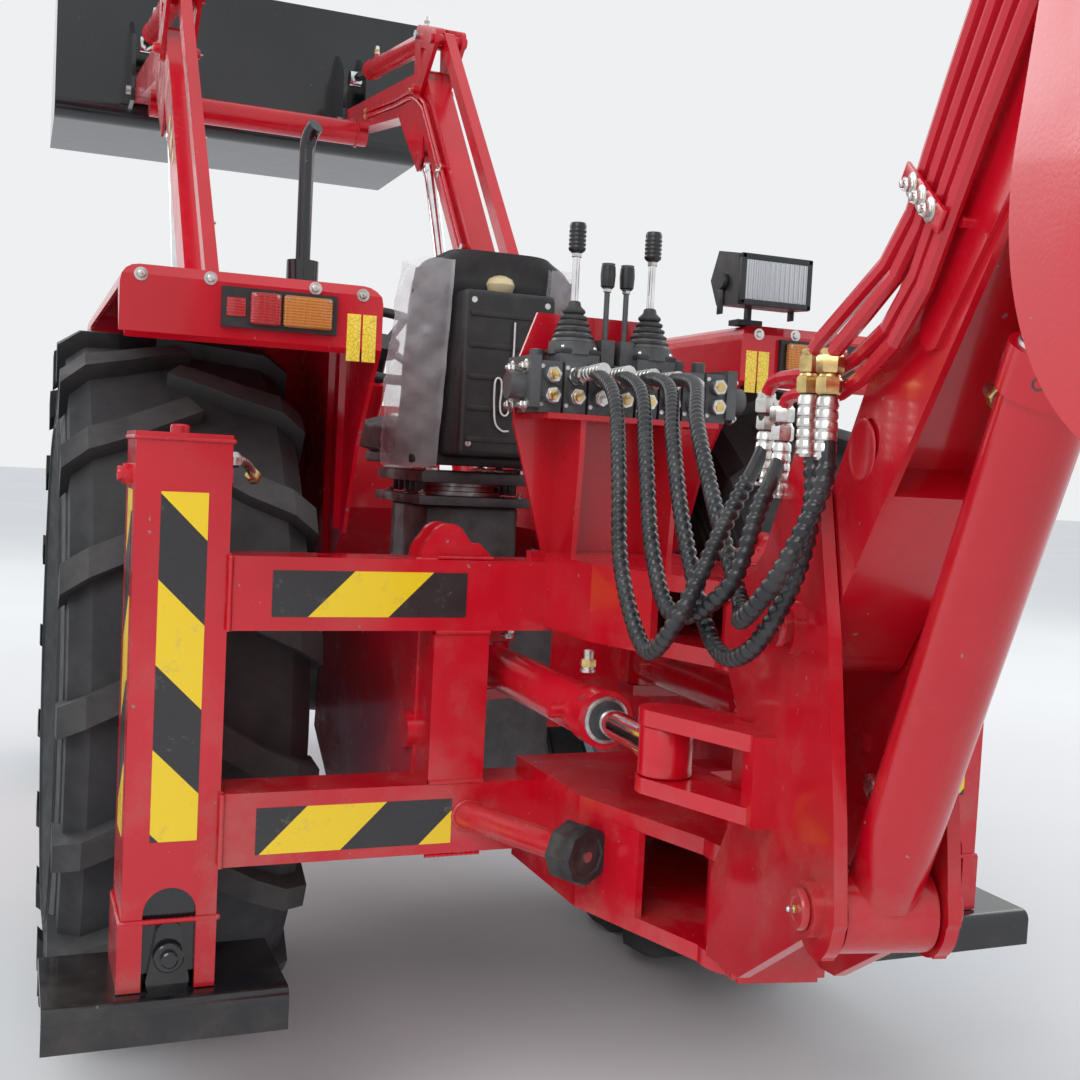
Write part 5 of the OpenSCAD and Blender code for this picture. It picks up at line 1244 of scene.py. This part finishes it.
# %% Cushion form
def cushion(name, middle, axes, size, crown, seams=(), power=5.0):
    """size is full width, depth and thickness; seams are places along the depth, from -1 to 1."""
    form = bmesh.new()
    bmesh.ops.create_cube(form, size=2.0)
    bmesh.ops.subdivide_edges(form, edges=form.edges[:], cuts=23, use_grid_fill=True)
    for v in form.verts:
        x, y, z = v.co
        reach = (abs(x) ** power + abs(y) ** power + abs(z) ** power) ** (1 / power)
        x, y, z = x / reach, y / reach, z / reach
        pull = 1 - 0.035 * (1 - x * x) * abs(y) ** 3
        if z > 0:
            bulge = crown * (1 - x * x) ** 0.7 * (1 - y * y) ** 0.7
        else:
            bulge = -0.25 * crown * (1 - x * x) * (1 - y * y)
        groove = sum(math.exp(-((y - s) / 0.035) ** 2) for s in seams) if z > 0 else 0
        dimple = 0.0022 * math.sin(9 * x + 4 * y) * math.sin(7 * y - 3 * x) * (z > 0)
        x *= 1 - 0.015 * (1 - y * y)
        v.co = Vector((x * size[0] / 2, y * pull * size[1] / 2,
                       z * size[2] / 2 + bulge - groove * 0.009 * (1 - abs(x) ** 6) + dimple))
    turn = Matrix([[axes[j][i] for j in range(3)] for i in range(3)])
    for v in form.verts:
        v.co = turn @ v.co + Vector(middle)
    mesh = bpy.data.meshes.new(name)
    form.to_mesh(mesh)
    form.free()
    mesh.materials.append(finishes["seat_vinyl"])
    mesh.shade_smooth()
    piece = bpy.data.objects.new(name, mesh)
    scene.collection.objects.link(piece)
    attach(piece, "machine")
    print(name, len(mesh.polygons), "faces")


print("cushion maker ready")

# %% [markdown]
# ## Two cushions
# The seat's cushion rises a little to the front, and the back leans. Their own axes follow from those slopes,
# and each has three seams across it.

# %% Cushion and back
SEAT_RISE, SEAT_RUN = 15, 380
lean = math.atan2(SEAT_RISE, SEAT_RUN)
SEAT_X = Vector((math.cos(lean), 0, math.sin(lean)))
SEAT_Z = Vector((-math.sin(lean), 0, math.cos(lean)))
cushion("seat_cushion", on_machine(42, 0, 1332), (Y, SEAT_X, SEAT_Z),
        (0.44, 0.46, 0.085), 0.012, (-0.45, 0.0, 0.45))
back_way = Vector((-82, 0, 402)).normalized()
back_face = Vector((back_way.z, 0, -back_way.x))
cushion("seat_back_cushion", on_machine(-163, 0, 1560), (Y, back_way, back_face),
        (0.385, 0.40, 0.05), 0.01, (-0.5, 0.0, 0.5))

# %% [markdown]
# ## Thin shells
# A thin moulded skin is a sheet of points with a second sheet behind it, a thickness away along each point's
# normal, and a strip of faces that closes the edge all round.

# %% A skin with a thickness
def shell_sheet(tray, finish, rows, thick):
    """A moulded shell from rows of points, closed round its edge."""
    count = len(rows[0])
    front = [Vector(p) for row in rows for p in row]
    normals = []
    for i, row in enumerate(rows):
        for j in range(count):
            a = Vector(rows[min(i + 1, len(rows) - 1)][j]) - Vector(rows[max(i - 1, 0)][j])
            b = Vector(row[min(j + 1, count - 1)]) - Vector(row[max(j - 1, 0)])
            normals.append(a.cross(b).normalized())
    verts = front + [p + n * thick for p, n in zip(front, normals)]
    size = len(front)
    faces = []
    for i in range(len(rows) - 1):
        for j in range(count - 1):
            a, b, c, d = i * count + j, i * count + j + 1, (i + 1) * count + j + 1, (i + 1) * count + j
            faces += [(a, b, c, d), (size + d, size + c, size + b, size + a)]
    rim = ([j for j in range(count)] + [i * count + count - 1 for i in range(1, len(rows))]
           + [(len(rows) - 1) * count + j for j in range(count - 2, -1, -1)]
           + [i * count for i in range(len(rows) - 2, 0, -1)])
    faces += [(a, size + a, size + b, b) for a, b in zip(rim, rim[1:] + rim[:1])]
    tray.add(finish, verts, faces)


print("shell maker ready")

# %% [markdown]
# ## Seat shell
# The shell behind the back curls forward at its sides, narrows to a rounded top and has a crease across it.
# A ribbed box with four screws sits behind it.

# %% Shell and box
STEPS = 28
seat = Tray("seat_frame")
rows = []
for i in range(STEPS + 1):
    h = i / STEPS
    x = -158 - 82 * h - 26
    z = 1300 + 462 * h
    half = 205 - 10 * h
    if h > 0.86:
        half -= 120 * ((h - 0.86) / 0.14) ** 2.4 * 0.5
    crease = -5 * math.exp(-((z - 1680) / 7) ** 2)
    rows.append([on_machine(x + 26 * abs(t) ** 2.6 + crease * (abs(t) < 0.92), half * t,
                            z - (20 * abs(t) ** 6 * (h > 0.9)))
                 for t in (2 * k / STEPS - 1 for k in range(STEPS + 1))])
shell_sheet(seat, "shell_plastic", rows, 0.006)
seat.block("shell_plastic", on_machine(-268, 0, 1478), (0.15, 0.222, 0.372), 0.014, steps=4)
for z in (1330, 1400, 1470, 1540, 1610):
    seat.block("shell_plastic", on_machine(-344, 0, z), (0.004, 0.19, 0.012), 0.0018)
for y in (-88, 88):
    for z in (1320, 1640):
        seat.turned("zinc", on_machine(-343, y, z), BACK, [(0, 0.007), (0.0015, 0.0068), (0.0015, 0.002)], 18)
print("shell and box:", len(seat.faces), "faces")

# %% [markdown]
# ## Seat base
# Below the cushion come a pan, two slides with their bolts, a turntable and a cast foot. A white wire hook
# hangs behind the box. The tray replaces the packed seat, which has the same outline in plain blocks.

# %% Pan, slides, turntable and hook
seat.block("shell_plastic", on_machine(10, 0, 1283), (0.42, 0.36, 0.03), 0.012, steps=3)
seat.block("casting", on_machine(10, 0, 1240), (0.4, 0.29, 0.028), 0.006)
seat.block("casting", on_machine(10, 0, 1184), (0.4, 0.3, 0.022), 0.005)
seat.turned("turned_steel", on_machine(10, 0, 1194), UP,
            [(0, 0.118), (0.01, 0.118), (0.012, 0.1), (0.022, 0.1), (0.024, 0.112), (0.034, 0.112)], 48)
seat.block("casting", on_machine(10, 0, 1077), (0.31, 0.235, 0.192), 0.012, steps=3)
for y in (-118, 118):
    seat.block("zinc", on_machine(10, y, 1258), (0.38, 0.03, 0.012), 0.003)
    for x in (-130, 10, 150):
        seat.bolt(on_machine(x, y, 1264), UP, 0.013)
        seat.bolt(on_machine(x, y * 1.06, 1195), UP, 0.013)
    for k in range(5):
        seat.block("casting", on_machine(-90 + 50 * k, y, 1217), (0.012, 0.022, 0.034), 0.003)
hook = [on_machine(-352, y, z) for y, z in (
    (-8, 1596), (-8, 1540), (-7, 1480), (-6, 1430), (-2, 1396), (6, 1386), (16, 1392), (19, 1412), (17, 1440),
    (18, 1462), (26, 1470), (33, 1462), (34, 1440), (33, 1405), (28, 1368), (12, 1352), (-4, 1352))]
seat.swept("reflector_wire", even_line(hook, 0, len(hook) - 1, 0.004)[0], 0.0022, 8)
seat.turned("knob", on_machine(-262, 0, 1664), UP, [(0, 0.02), (0.01, 0.03), (0.024, 0.034), (0.037, 0.028),
                                                   (0.044, 0.014), (0.046, 0.004)], 28)
seat_frame = seat.made("machine")
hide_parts("seat")

# %% [markdown]
# ## Clear film round the seat
# The film is thin and stiff, so it stands off the cushion in sharp crumples. Its folds are made by summing
# ridges: the absolute value of a slanted wave gives creases where a smooth wave would give soft cloth.

# %% Creases
def creased(u, v):
    total = 0.0
    for slant, pitch, phase, depth in ((0.9, 5.3, 0.3, 1.0), (-1.3, 7.1, 1.1, 0.8), (2.2, 9.7, 2.0, 0.5),
                                       (-0.4, 13.3, 0.7, 0.35), (3.1, 17.9, 2.6, 0.2)):
        wave = (u * pitch + v * pitch * slant + phase) % 2.0
        total += depth * abs(wave - 1.0)
    return total / 2.85


print("crease depth in the middle:", round(creased(0.5, 0.5), 3))

# %% [markdown]
# ## Two sides of film
# One open sheet goes round each side of the back. It is puffed out most at half height and keeps clear of
# the seat's middle, and its height wanders a little, so its top edge isn't straight.

# %% Wrap the film
def film_side(s):
    columns, levels = 46, 40
    verts = []
    for j in range(levels + 1):
        v = j / levels
        z = 1255 + 470 * v
        for i in range(columns + 1):
            u = i / columns
            turn = math.radians(-75 + 205 * u)
            puff = (26 + 34 * creased(u, v) * (0.5 + 0.5 * math.sin(math.pi * v))
                    * math.sin(math.pi * min(1, u * 1.1)))
            lean_x = -168 - 78 * v
            x = lean_x + 50 - (72 + puff) * math.sin(turn) * 0.9
            y = 96 + (100 + 0.85 * puff) * math.cos(turn) * (1 - 0.1 * v * v)
            verts.append(on_machine(x, s * max(y, 118), z + 14 * creased(v * 2, u)))
    wide = columns + 1
    faces = [(j * wide + i, j * wide + i + 1, (j + 1) * wide + i + 1, (j + 1) * wide + i)
             for j in range(levels) for i in range(columns)]
    mesh = bpy.data.meshes.new(f"seat_film_{dict(SIDES)[s]}")
    mesh.from_pydata([tuple(p) for p in verts], [], faces)
    mesh.materials.append(finishes["film"])
    mesh.shade_smooth()
    mesh.set_sharp_from_angle(angle=math.radians(28))
    piece = bpy.data.objects.new(mesh.name, mesh)
    scene.collection.objects.link(piece)
    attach(piece, "machine")


for s in (1, -1):
    film_side(s)

# %% [markdown]
# ## Lamps and reflectors
# The work lamp is a black box with a bezel, a silvered bowl and a ribbed clear lens, hung in a stirrup with
# two knobs. The tail lamps are moulded lenses with a lip; amber and red sit side by side. All lens ribs are
# real ridges, so they catch the light from any side.

# %% Work lamp, tail lamps, reflectors
lights = Tray("lamp_lenses")
for y0, y1, z0, z1 in ((-510, -340, 1630, 1642), (-510, -340, 1722, 1735), (-510, -498, 1630, 1735),
                       (-352, -340, 1630, 1735)):
    lights.block("shell_plastic", on_machine(-762, (y0 + y1) / 2, (z0 + z1) / 2),
                 (0.014, (y1 - y0) / 1000, (z1 - z0) / 1000), 0.003)
lights.block("silver", on_machine(-760.5, -425, 1682), (0.004, 0.148, 0.082), 0.0015)
lights.block("clear_lens", on_machine(-765, -425, 1682), (0.005, 0.148, 0.082), 0.002)
for k in range(13):
    lights.block("clear_lens", on_machine(-768, -425 + (k - 6) * 11, 1682), (0.003, 0.004, 0.078), 0.0012)
for y in (-512, -338):
    way = Vector((0, -1 if y < -425 else 1, 0))
    lights.turned("shell_plastic", on_machine(-700, y, 1682), way,
                  [(0, 0.017), (0.006, 0.017), (0.009, 0.015), (0.009, 0.006)], 20)
    lights.block("shell_plastic", on_machine(-690, y, 1650), (0.022, 0.004, 0.07), 0.0015)
for s in (1, -1):
    for (y0, y1), finish in (((492, 580), "amber_lens"), ((586, 640), "red_lens")):
        lights.block(finish, on_machine(-719, s * (y0 + y1) / 2, 1536),
                     (0.0125, (y1 - y0 + 2) / 1000, 0.058), 0.005, steps=3)
        for k in range(int((y1 - y0) / 11)):
            lights.block(finish, on_machine(-725.6, s * (y0 + 8 + 11 * k), 1536),
                         (0.0016, 0.0035, 0.048), 0.0007)
        for y in (y0 + 6, y1 - 6):
            lights.turned("zinc", on_machine(-725.2, s * y, 1559), BACK, [(0, 0.0035), (0.0012, 0.003)], 12)
    lights.block("red_lens", on_machine(-713, s * 665, 1536), (0.004, 0.034, 0.034), 0.0015)
    for y in (445, 415):
        lights.block("reflector", on_machine(-700.6, s * y, 1500), (0.0016, 0.026, 0.088), 0.0005)
lights.made("machine")

# %% [markdown]
# ## Bumper stops
# A bent tube on the lower beam ends in an eight-sided rubber stop that keeps the swung hoe off the frame. It
# is turned with eight sides; its faces have shallow steps and its middle is dished.

# %% Rubber stops
def spin_up(axis):
    """The spin that turns the first corner of a turned form straight up."""
    axis, side, other = square_to(axis)
    return math.atan2(UP.dot(other), UP.dot(side))


stops = Tray("bumper_stops")
for s in (1, -1):
    way, start = stop_way(s), stop_foot(s)
    stops.turned("boot_rubber", start + way * 0.276, way,
                 [(0, 0.046), (0.002, 0.0495), (0.014, 0.0495), (0.016, 0.0482), (0.03, 0.0482),
                  (0.032, 0.0495), (0.046, 0.0495), (0.051, 0.0455), (0.051, 0.034), (0.048, 0.031),
                  (0.048, 0.004)], 8, spin_up(way))
    stops.turned("turned_steel", start + way * 0.3235, way, [(0, 0.009), (0.003, 0.009), (0.003, 0.005)], 18)
stops.made("machine")

# %% [markdown]
# ## Wheels
# Eight studs and nuts hold each rear disc and six each front one, and a hub cap covers the bearing. Ribs
# round the sidewalls protect them from kerbs, and thin rubber hairs from the mould's vents are still on this
# new tread. They ride with each wheel, as every wheel turns by itself.

# %% One wheel's nuts, cap, ribs and hairs
random.seed(28)
HAIRS = 150


def dress_wheel(body, name, centre, s, nuts, nut_r, face, cap_r, cap_face, ribs, tread_r, half):
    """ribs are (radius, distance from the middle plane, thickness) of the rounds on both sidewalls."""
    tray = Tray(name)
    centre, out = Vector(centre), Vector((0, s, 0))
    for k in range(nuts):
        a = 2 * math.pi * (k + 0.5) / nuts
        spoke = Vector((math.cos(a), 0, math.sin(a)))
        tray.bolt(centre + spoke * nut_r + out * face, out, 0.024)
    tray.turned("rim_blue", centre + out * cap_face, out,
                [(0, cap_r), (0.004, cap_r), (0.012, cap_r * 0.93), (0.02, cap_r * 0.7), (0.024, cap_r * 0.4),
                 (0.025, cap_r * 0.1)], 36)
    for r, y, thick in ribs:
        for side in (1, -1):
            ring = [centre + Vector((math.cos(a) * r, side * y, math.sin(a) * r)) for a in full_turn(72)]
            tray.swept("rubber_" + name.removeprefix("wheel_"), ring, thick, 7)
    for k in range(HAIRS):
        a, y = random.uniform(0, 2 * math.pi), random.uniform(-half, half)
        spoke = Vector((math.cos(a), 0, math.sin(a)))
        root = centre + spoke * (tread_r - 0.002) + Vector((0, y, 0))
        stray = Vector([random.uniform(-0.5, 0.5) for _ in range(3)])
        tip = root + (spoke + stray).normalized() * random.uniform(0.004, 0.009)
        if tip.z > 0.001:
            tray.swept("hose_rubber", [root, root.lerp(tip, 0.5), tip], 0.0007, 4)
    rib = ribs[0][0]
    stem = centre + Vector((0, 0, 0.88 * rib - 0.13 * (rib > 0.4))) + out * face
    tray.turned("boot_rubber", stem, out, [(0, 0.009), (0.006, 0.0085), (0.012, 0.0055), (0.03, 0.005),
                                          (0.031, 0.0062), (0.041, 0.0062), (0.042, 0.003)], 14)
    tray.made(body, 50)


print("wheel dresser ready, with", HAIRS, "hairs")

# %% [markdown]
# ## Four wheels
# The rear wheels are almost twice as tall as the front ones, so each pair has its own radii.

# %% Dress the wheels
REAR_RIBS = ((0.5486, 0.2272, 0.004), (0.57, 0.2262, 0.0025), (0.43, 0.1852, 0.003), (0.66, 0.2192, 0.003))
FRONT_RIBS = ((0.2985, 0.1023, 0.003), (0.31, 0.1018, 0.002), (0.232, 0.078, 0.0022), (0.35, 0.0995, 0.002))
for s, side in SIDES:
    dress_wheel(f"wheel_rear_{side}", f"wheel_rear_tyre_{side}", on_machine(0, s * 715, 765), s, 8, 0.128,
                0.036, 0.09, 0.0602, REAR_RIBS, 0.727, 0.16)
    dress_wheel(f"wheel_front_{side}", f"wheel_front_tyre_{side}", on_machine(2290, s * 725, 402), s, 6,
                0.105, 0.0165, 0.055, 0.0602, FRONT_RIBS, 0.401, 0.085)

# %% [markdown]
# ## Loader
# The loader is a pair of bent arms with a link above each. Oil goes along the arms in steel pipes clamped to
# their inner faces, because hoses would chafe.

# %% Loader pipes and clamps
ARM_PIVOT, ARM_BEND, REACH = (880, 1420), (2050, 2760), 1778.9


def on_loader(a, b, y):
    """a along the rear half of an arm from its pivot, b above its middle line, in mm."""
    ux, uz = ((end - start) / REACH for start, end in zip(ARM_PIVOT, ARM_BEND))
    return on_machine(ARM_PIVOT[0] + a * ux - b * uz, y, ARM_PIVOT[1] + a * uz + b * ux)


ARM_AXES = (on_loader(1000, 0, 0) - on_loader(0, 0, 0), Y, on_loader(0, 1000, 0) - on_loader(0, 0, 0))
arms = Tray("loader_arm_fittings")
for s in (1, -1):
    y = s * 443
    for b in (26, 2):
        line = [*(on_loader(a, b, y) for a in (150, 240, *range(400, 1500, 220), 1600)),
                on_loader(1690, b - 12, y), on_machine(2160, y, 2752 + b), on_machine(2420, y, 2782 + b),
                on_machine(2900, y, 2846 + b)]
        arms.swept("pipe_red", even_line(line, 0, len(line) - 1, 0.02)[0], 0.0075, 10)
        for at, way in ((line[0], line[0] - line[1]), (line[-1], line[-1] - line[-2])):
            way = way.normalized()
            arms.nut("brass", at - way * 0.004, way, 0.022, 0.02)
            arms.turned("zinc", at + way * 0.014, way, [(0, 0.009), (0.012, 0.009), (0.016, 0.0065)], 16)
    for a in (330, 800, 1250):
        arms.block("zinc", on_loader(a, 14, s * 437), (0.022, 0.006, 0.056), 0.0018, ARM_AXES)
        arms.block("red_gloss", on_loader(a, 14, s * 447.5), (0.018, 0.014, 0.05), 0.0018, ARM_AXES)
        arms.bolt(on_loader(a, 14, s * 434), (0, -s, 0), 0.013)
print("pipes and clamps:", len(arms.faces), "faces")

# %% [markdown]
# ## Loader pins, welds and tape
# The pivot and the bend have a capped pin head on each face of an arm. A bead runs round the boss at the
# arm's tip, and a short strip of tape lies along each arm's outer face.

# %% Pins, welds and tape on the arms
for s in (1, -1):
    for x, z in (ARM_PIVOT, ARM_BEND):
        for y, way in ((577, s), (423, -s)):
            pin_head(arms, on_machine(x, s * y, z), (0, way, 0), 0.0175)
    weld(arms, [on_machine(x, s * 468, z) for x, z in ((3128, 2905), (3160, 2850), (3168, 2810))], 0.005)
    ring = [on_machine(3130 + 62 * math.cos(a), s * 452, 2820 + 62 * math.sin(a)) for a in full_turn(24)]
    arms.swept("red_gloss", ring, lambda d, a: 0.0045 + 0.0007 * math.cos(2 * math.pi * d / 0.009), 6)
striped_tape("tape_arm", (0.87, 0, 0.5), 0.1, 0.02)
for s in (1, -1):
    arms.plate("tape_arm", [on_loader(a, b, s * 545.2) for a, b in
                            ((1120, -24), (1340, -24), (1340, 24), (1120, 24))], Y * s * TAPE, TAPE_EDGE)
arms.made("loader_arms")

# %% [markdown]
# ## Bonnet
# The grille carries two headlamps with fluted lenses and chrome rims. The bonnet has rubber strips along its
# edges and three rubber buttons on each side. Nine thin black plates on each side are painted shade that
# stands for the dark insides of cooling slots.

# %% Headlamps, strips and black plates as painted slot shade
front = Tray("bonnet_fittings")
for s in (1, -1):
    at = on_machine(2707, s * 115, 1120)
    front.turned("chrome", at - Vector((0.002, 0, 0)), AHEAD,
                 [(0, 0.064), (0.004, 0.0645), (0.008, 0.062), (0.008, 0.054)], 40)
    front.turned("headlamp_lens", at, AHEAD,
                 [(0, 0.055), (0.005, 0.053), (0.0085, 0.042), (0.0105, 0.022), (0.011, 0.004)], 40)
    for x in (1300, 1750, 2200):
        front.turned("boot_rubber", on_machine(x, s * 270, 1010), (0, s, 0),
                     [(0, 0.014), (0.003, 0.014), (0.006, 0.01)], 20)
    # nine black plates on the bonnet side: painted shade in place of the dark insides of cooling slots
    for k in range(9):
        front.block("shell_plastic", on_machine(1900 + 42 * k, s * 271, 1235), (0.022, 0.004, 0.15), 0.0015)
    front.swept("boot_rubber", [on_machine(x, s * 270.5, 992) for x in range(1125, 2680, 60)], 0.004, 8)
front.swept("boot_rubber", [on_machine(x, 0, 1450.5) for x in range(1125, 2520, 60)], 0.003, 8)
front.made("machine")

# %% [markdown]
# ## Dash
# Ahead of the seat the dash has three round gauges with chrome rims, generic ticks and red needles, and four
# knobs below them. They lie on the slanted face, so their directions follow from its slope.

# %% Gauges and knobs
dash = Tray("dash_gauges")
face = Vector((-110, 0, 60)).normalized()
across_face = Vector((60, 0, 110)).normalized()
for y, r in ((0, 0.045), (105, 0.032), (-105, 0.032)):
    at = on_machine(930.5, y, 1386.5) + face * 0.0015
    dash.turned("chrome", at, face, [(0, r + 0.006), (0.006, r + 0.005), (0.008, r)], 36)
    dash.turned("knob", at + face * 0.002, face, [(0, r), (0.0035, r), (0.0035, r * 0.4)], 36)
    for k in range(9):
        a = math.radians(-40 + 27.5 * k)
        spoke = across_face * math.sin(a) + Y * math.cos(a)
        dash.block("shell_plastic", at + face * 0.006 + spoke * (r - 0.007), (0.008, 0.0014, 0.001), 0.0003,
                   (spoke, face.cross(spoke), face))
    needle = (across_face * 0.8 + Y * 0.5).normalized()
    dash.block("red_lens", at + face * 0.0075 + needle * r * 0.3, (r * 0.85, 0.002, 0.001), 0.0004,
               (needle, face.cross(needle), face))
for y in (-190, -165, 165, 190):
    dash.turned("shell_plastic", on_machine(918, y, 1362) + face * 0.002, face,
                [(0, 0.011), (0.004, 0.011), (0.004, 0.007), (0.014, 0.0065), (0.016, 0.004)], 20)
dash.made("machine")

# %% [markdown]
# ## Engine
# Under the bonnet the engine shows bolted side covers on both sides, four bends of its manifold on the left,
# and its filters, injectors and their pump on the right.

# %% Bolts, covers, filters and manifold
engine = Tray("engine_parts")
for s in (1, -1):
    for k in range(7):
        for z in (1140, 668):
            engine.bolt(on_machine(1190 + 130 * k, s * 230, z), (0, s, 0), 0.018)
    for x in (1260, 1440, 1620, 1800):
        engine.block("casting", on_machine(x, s * 228, 900), (0.13, 0.016, 0.3), 0.008, steps=3)
for x in (1330, 1450):
    engine.turned("rim_blue", on_machine(x, -276, 880), (0, 0, -1),
                  [(0, 0.04), (0.006, 0.045), (0.14, 0.045), (0.152, 0.04), (0.155, 0.02)], 32)
    engine.block("casting", on_machine(x, -253, 885), (0.1, 0.05, 0.045), 0.008)
for k in range(4):
    x = 1240 + 190 * k
    bend = [on_machine(x, 226, 1080), on_machine(x, 262, 1085), on_machine(x - 8, 280, 1098),
            on_machine(x - 16, 282, 1112)]
    engine.swept("casting", even_line(bend, 0, 3, 0.01)[0], 0.024, 14)
    engine.nut("zinc", on_machine(x, -232, 1085), (0, -1, 0.3), 0.02, 0.018)
    pipe = [on_machine(x, -248, 1090), on_machine(x + 10, -262, 1060), on_machine(1560, -264, 1000),
            on_machine(1600, -250, 950)]
    engine.swept("zinc", even_line(pipe, 0, 3, 0.012)[0], 0.0032, 8)
engine.block("casting", on_machine(1520, -252, 935), (0.24, 0.045, 0.1), 0.01, steps=3)
engine.turned("casting", on_machine(1205, 178, 1108), UP,
              [(0, 0.05), (0.008, 0.05), (0.01, 0.036), (0.05, 0.034)], 28)
engine.made("machine")

# %% [markdown]
# ## Foot plates and fender bolts
# Foot plates are pressed with short raised bars that cross each other, so that muddy boots grip. The fenders
# hang on domed bolts with large washers, because sheet metal tears round a small head.

# %% Tread bars and domed bolts
grips = Tray("tread_bars")
for s in (1, -1):
    for x0, x1, y0, y1, z in ((345, 740, 180, 420, 712), (552, 740, 342, 418, 440)):
        for i, x in enumerate(range(x0, x1, 34)):
            for j, y in enumerate(range(y0, y1, 30)):
                slant = 1 if (i + j) % 2 else -1
                way = Vector((1, slant, 0)).normalized()
                grips.block("red_gloss", on_machine(x + 8, s * (y + 8), z + 0.8), (0.026, 0.006, 0.0024),
                            0.001, (way, UP.cross(way), UP))
    for y, z in ((430, 1580), (520, 1584), (710, 1584), (830, 1580)):
        at = on_machine(-700.5, s * y, z)
        grips.turned("zinc", at, BACK,
                     [(0, 0.012), (0.0016, 0.012), (0.002, 0.0075), (0.0045, 0.006), (0.0058, 0.002)], 24)
grips.made("machine")
print("all small forms made")
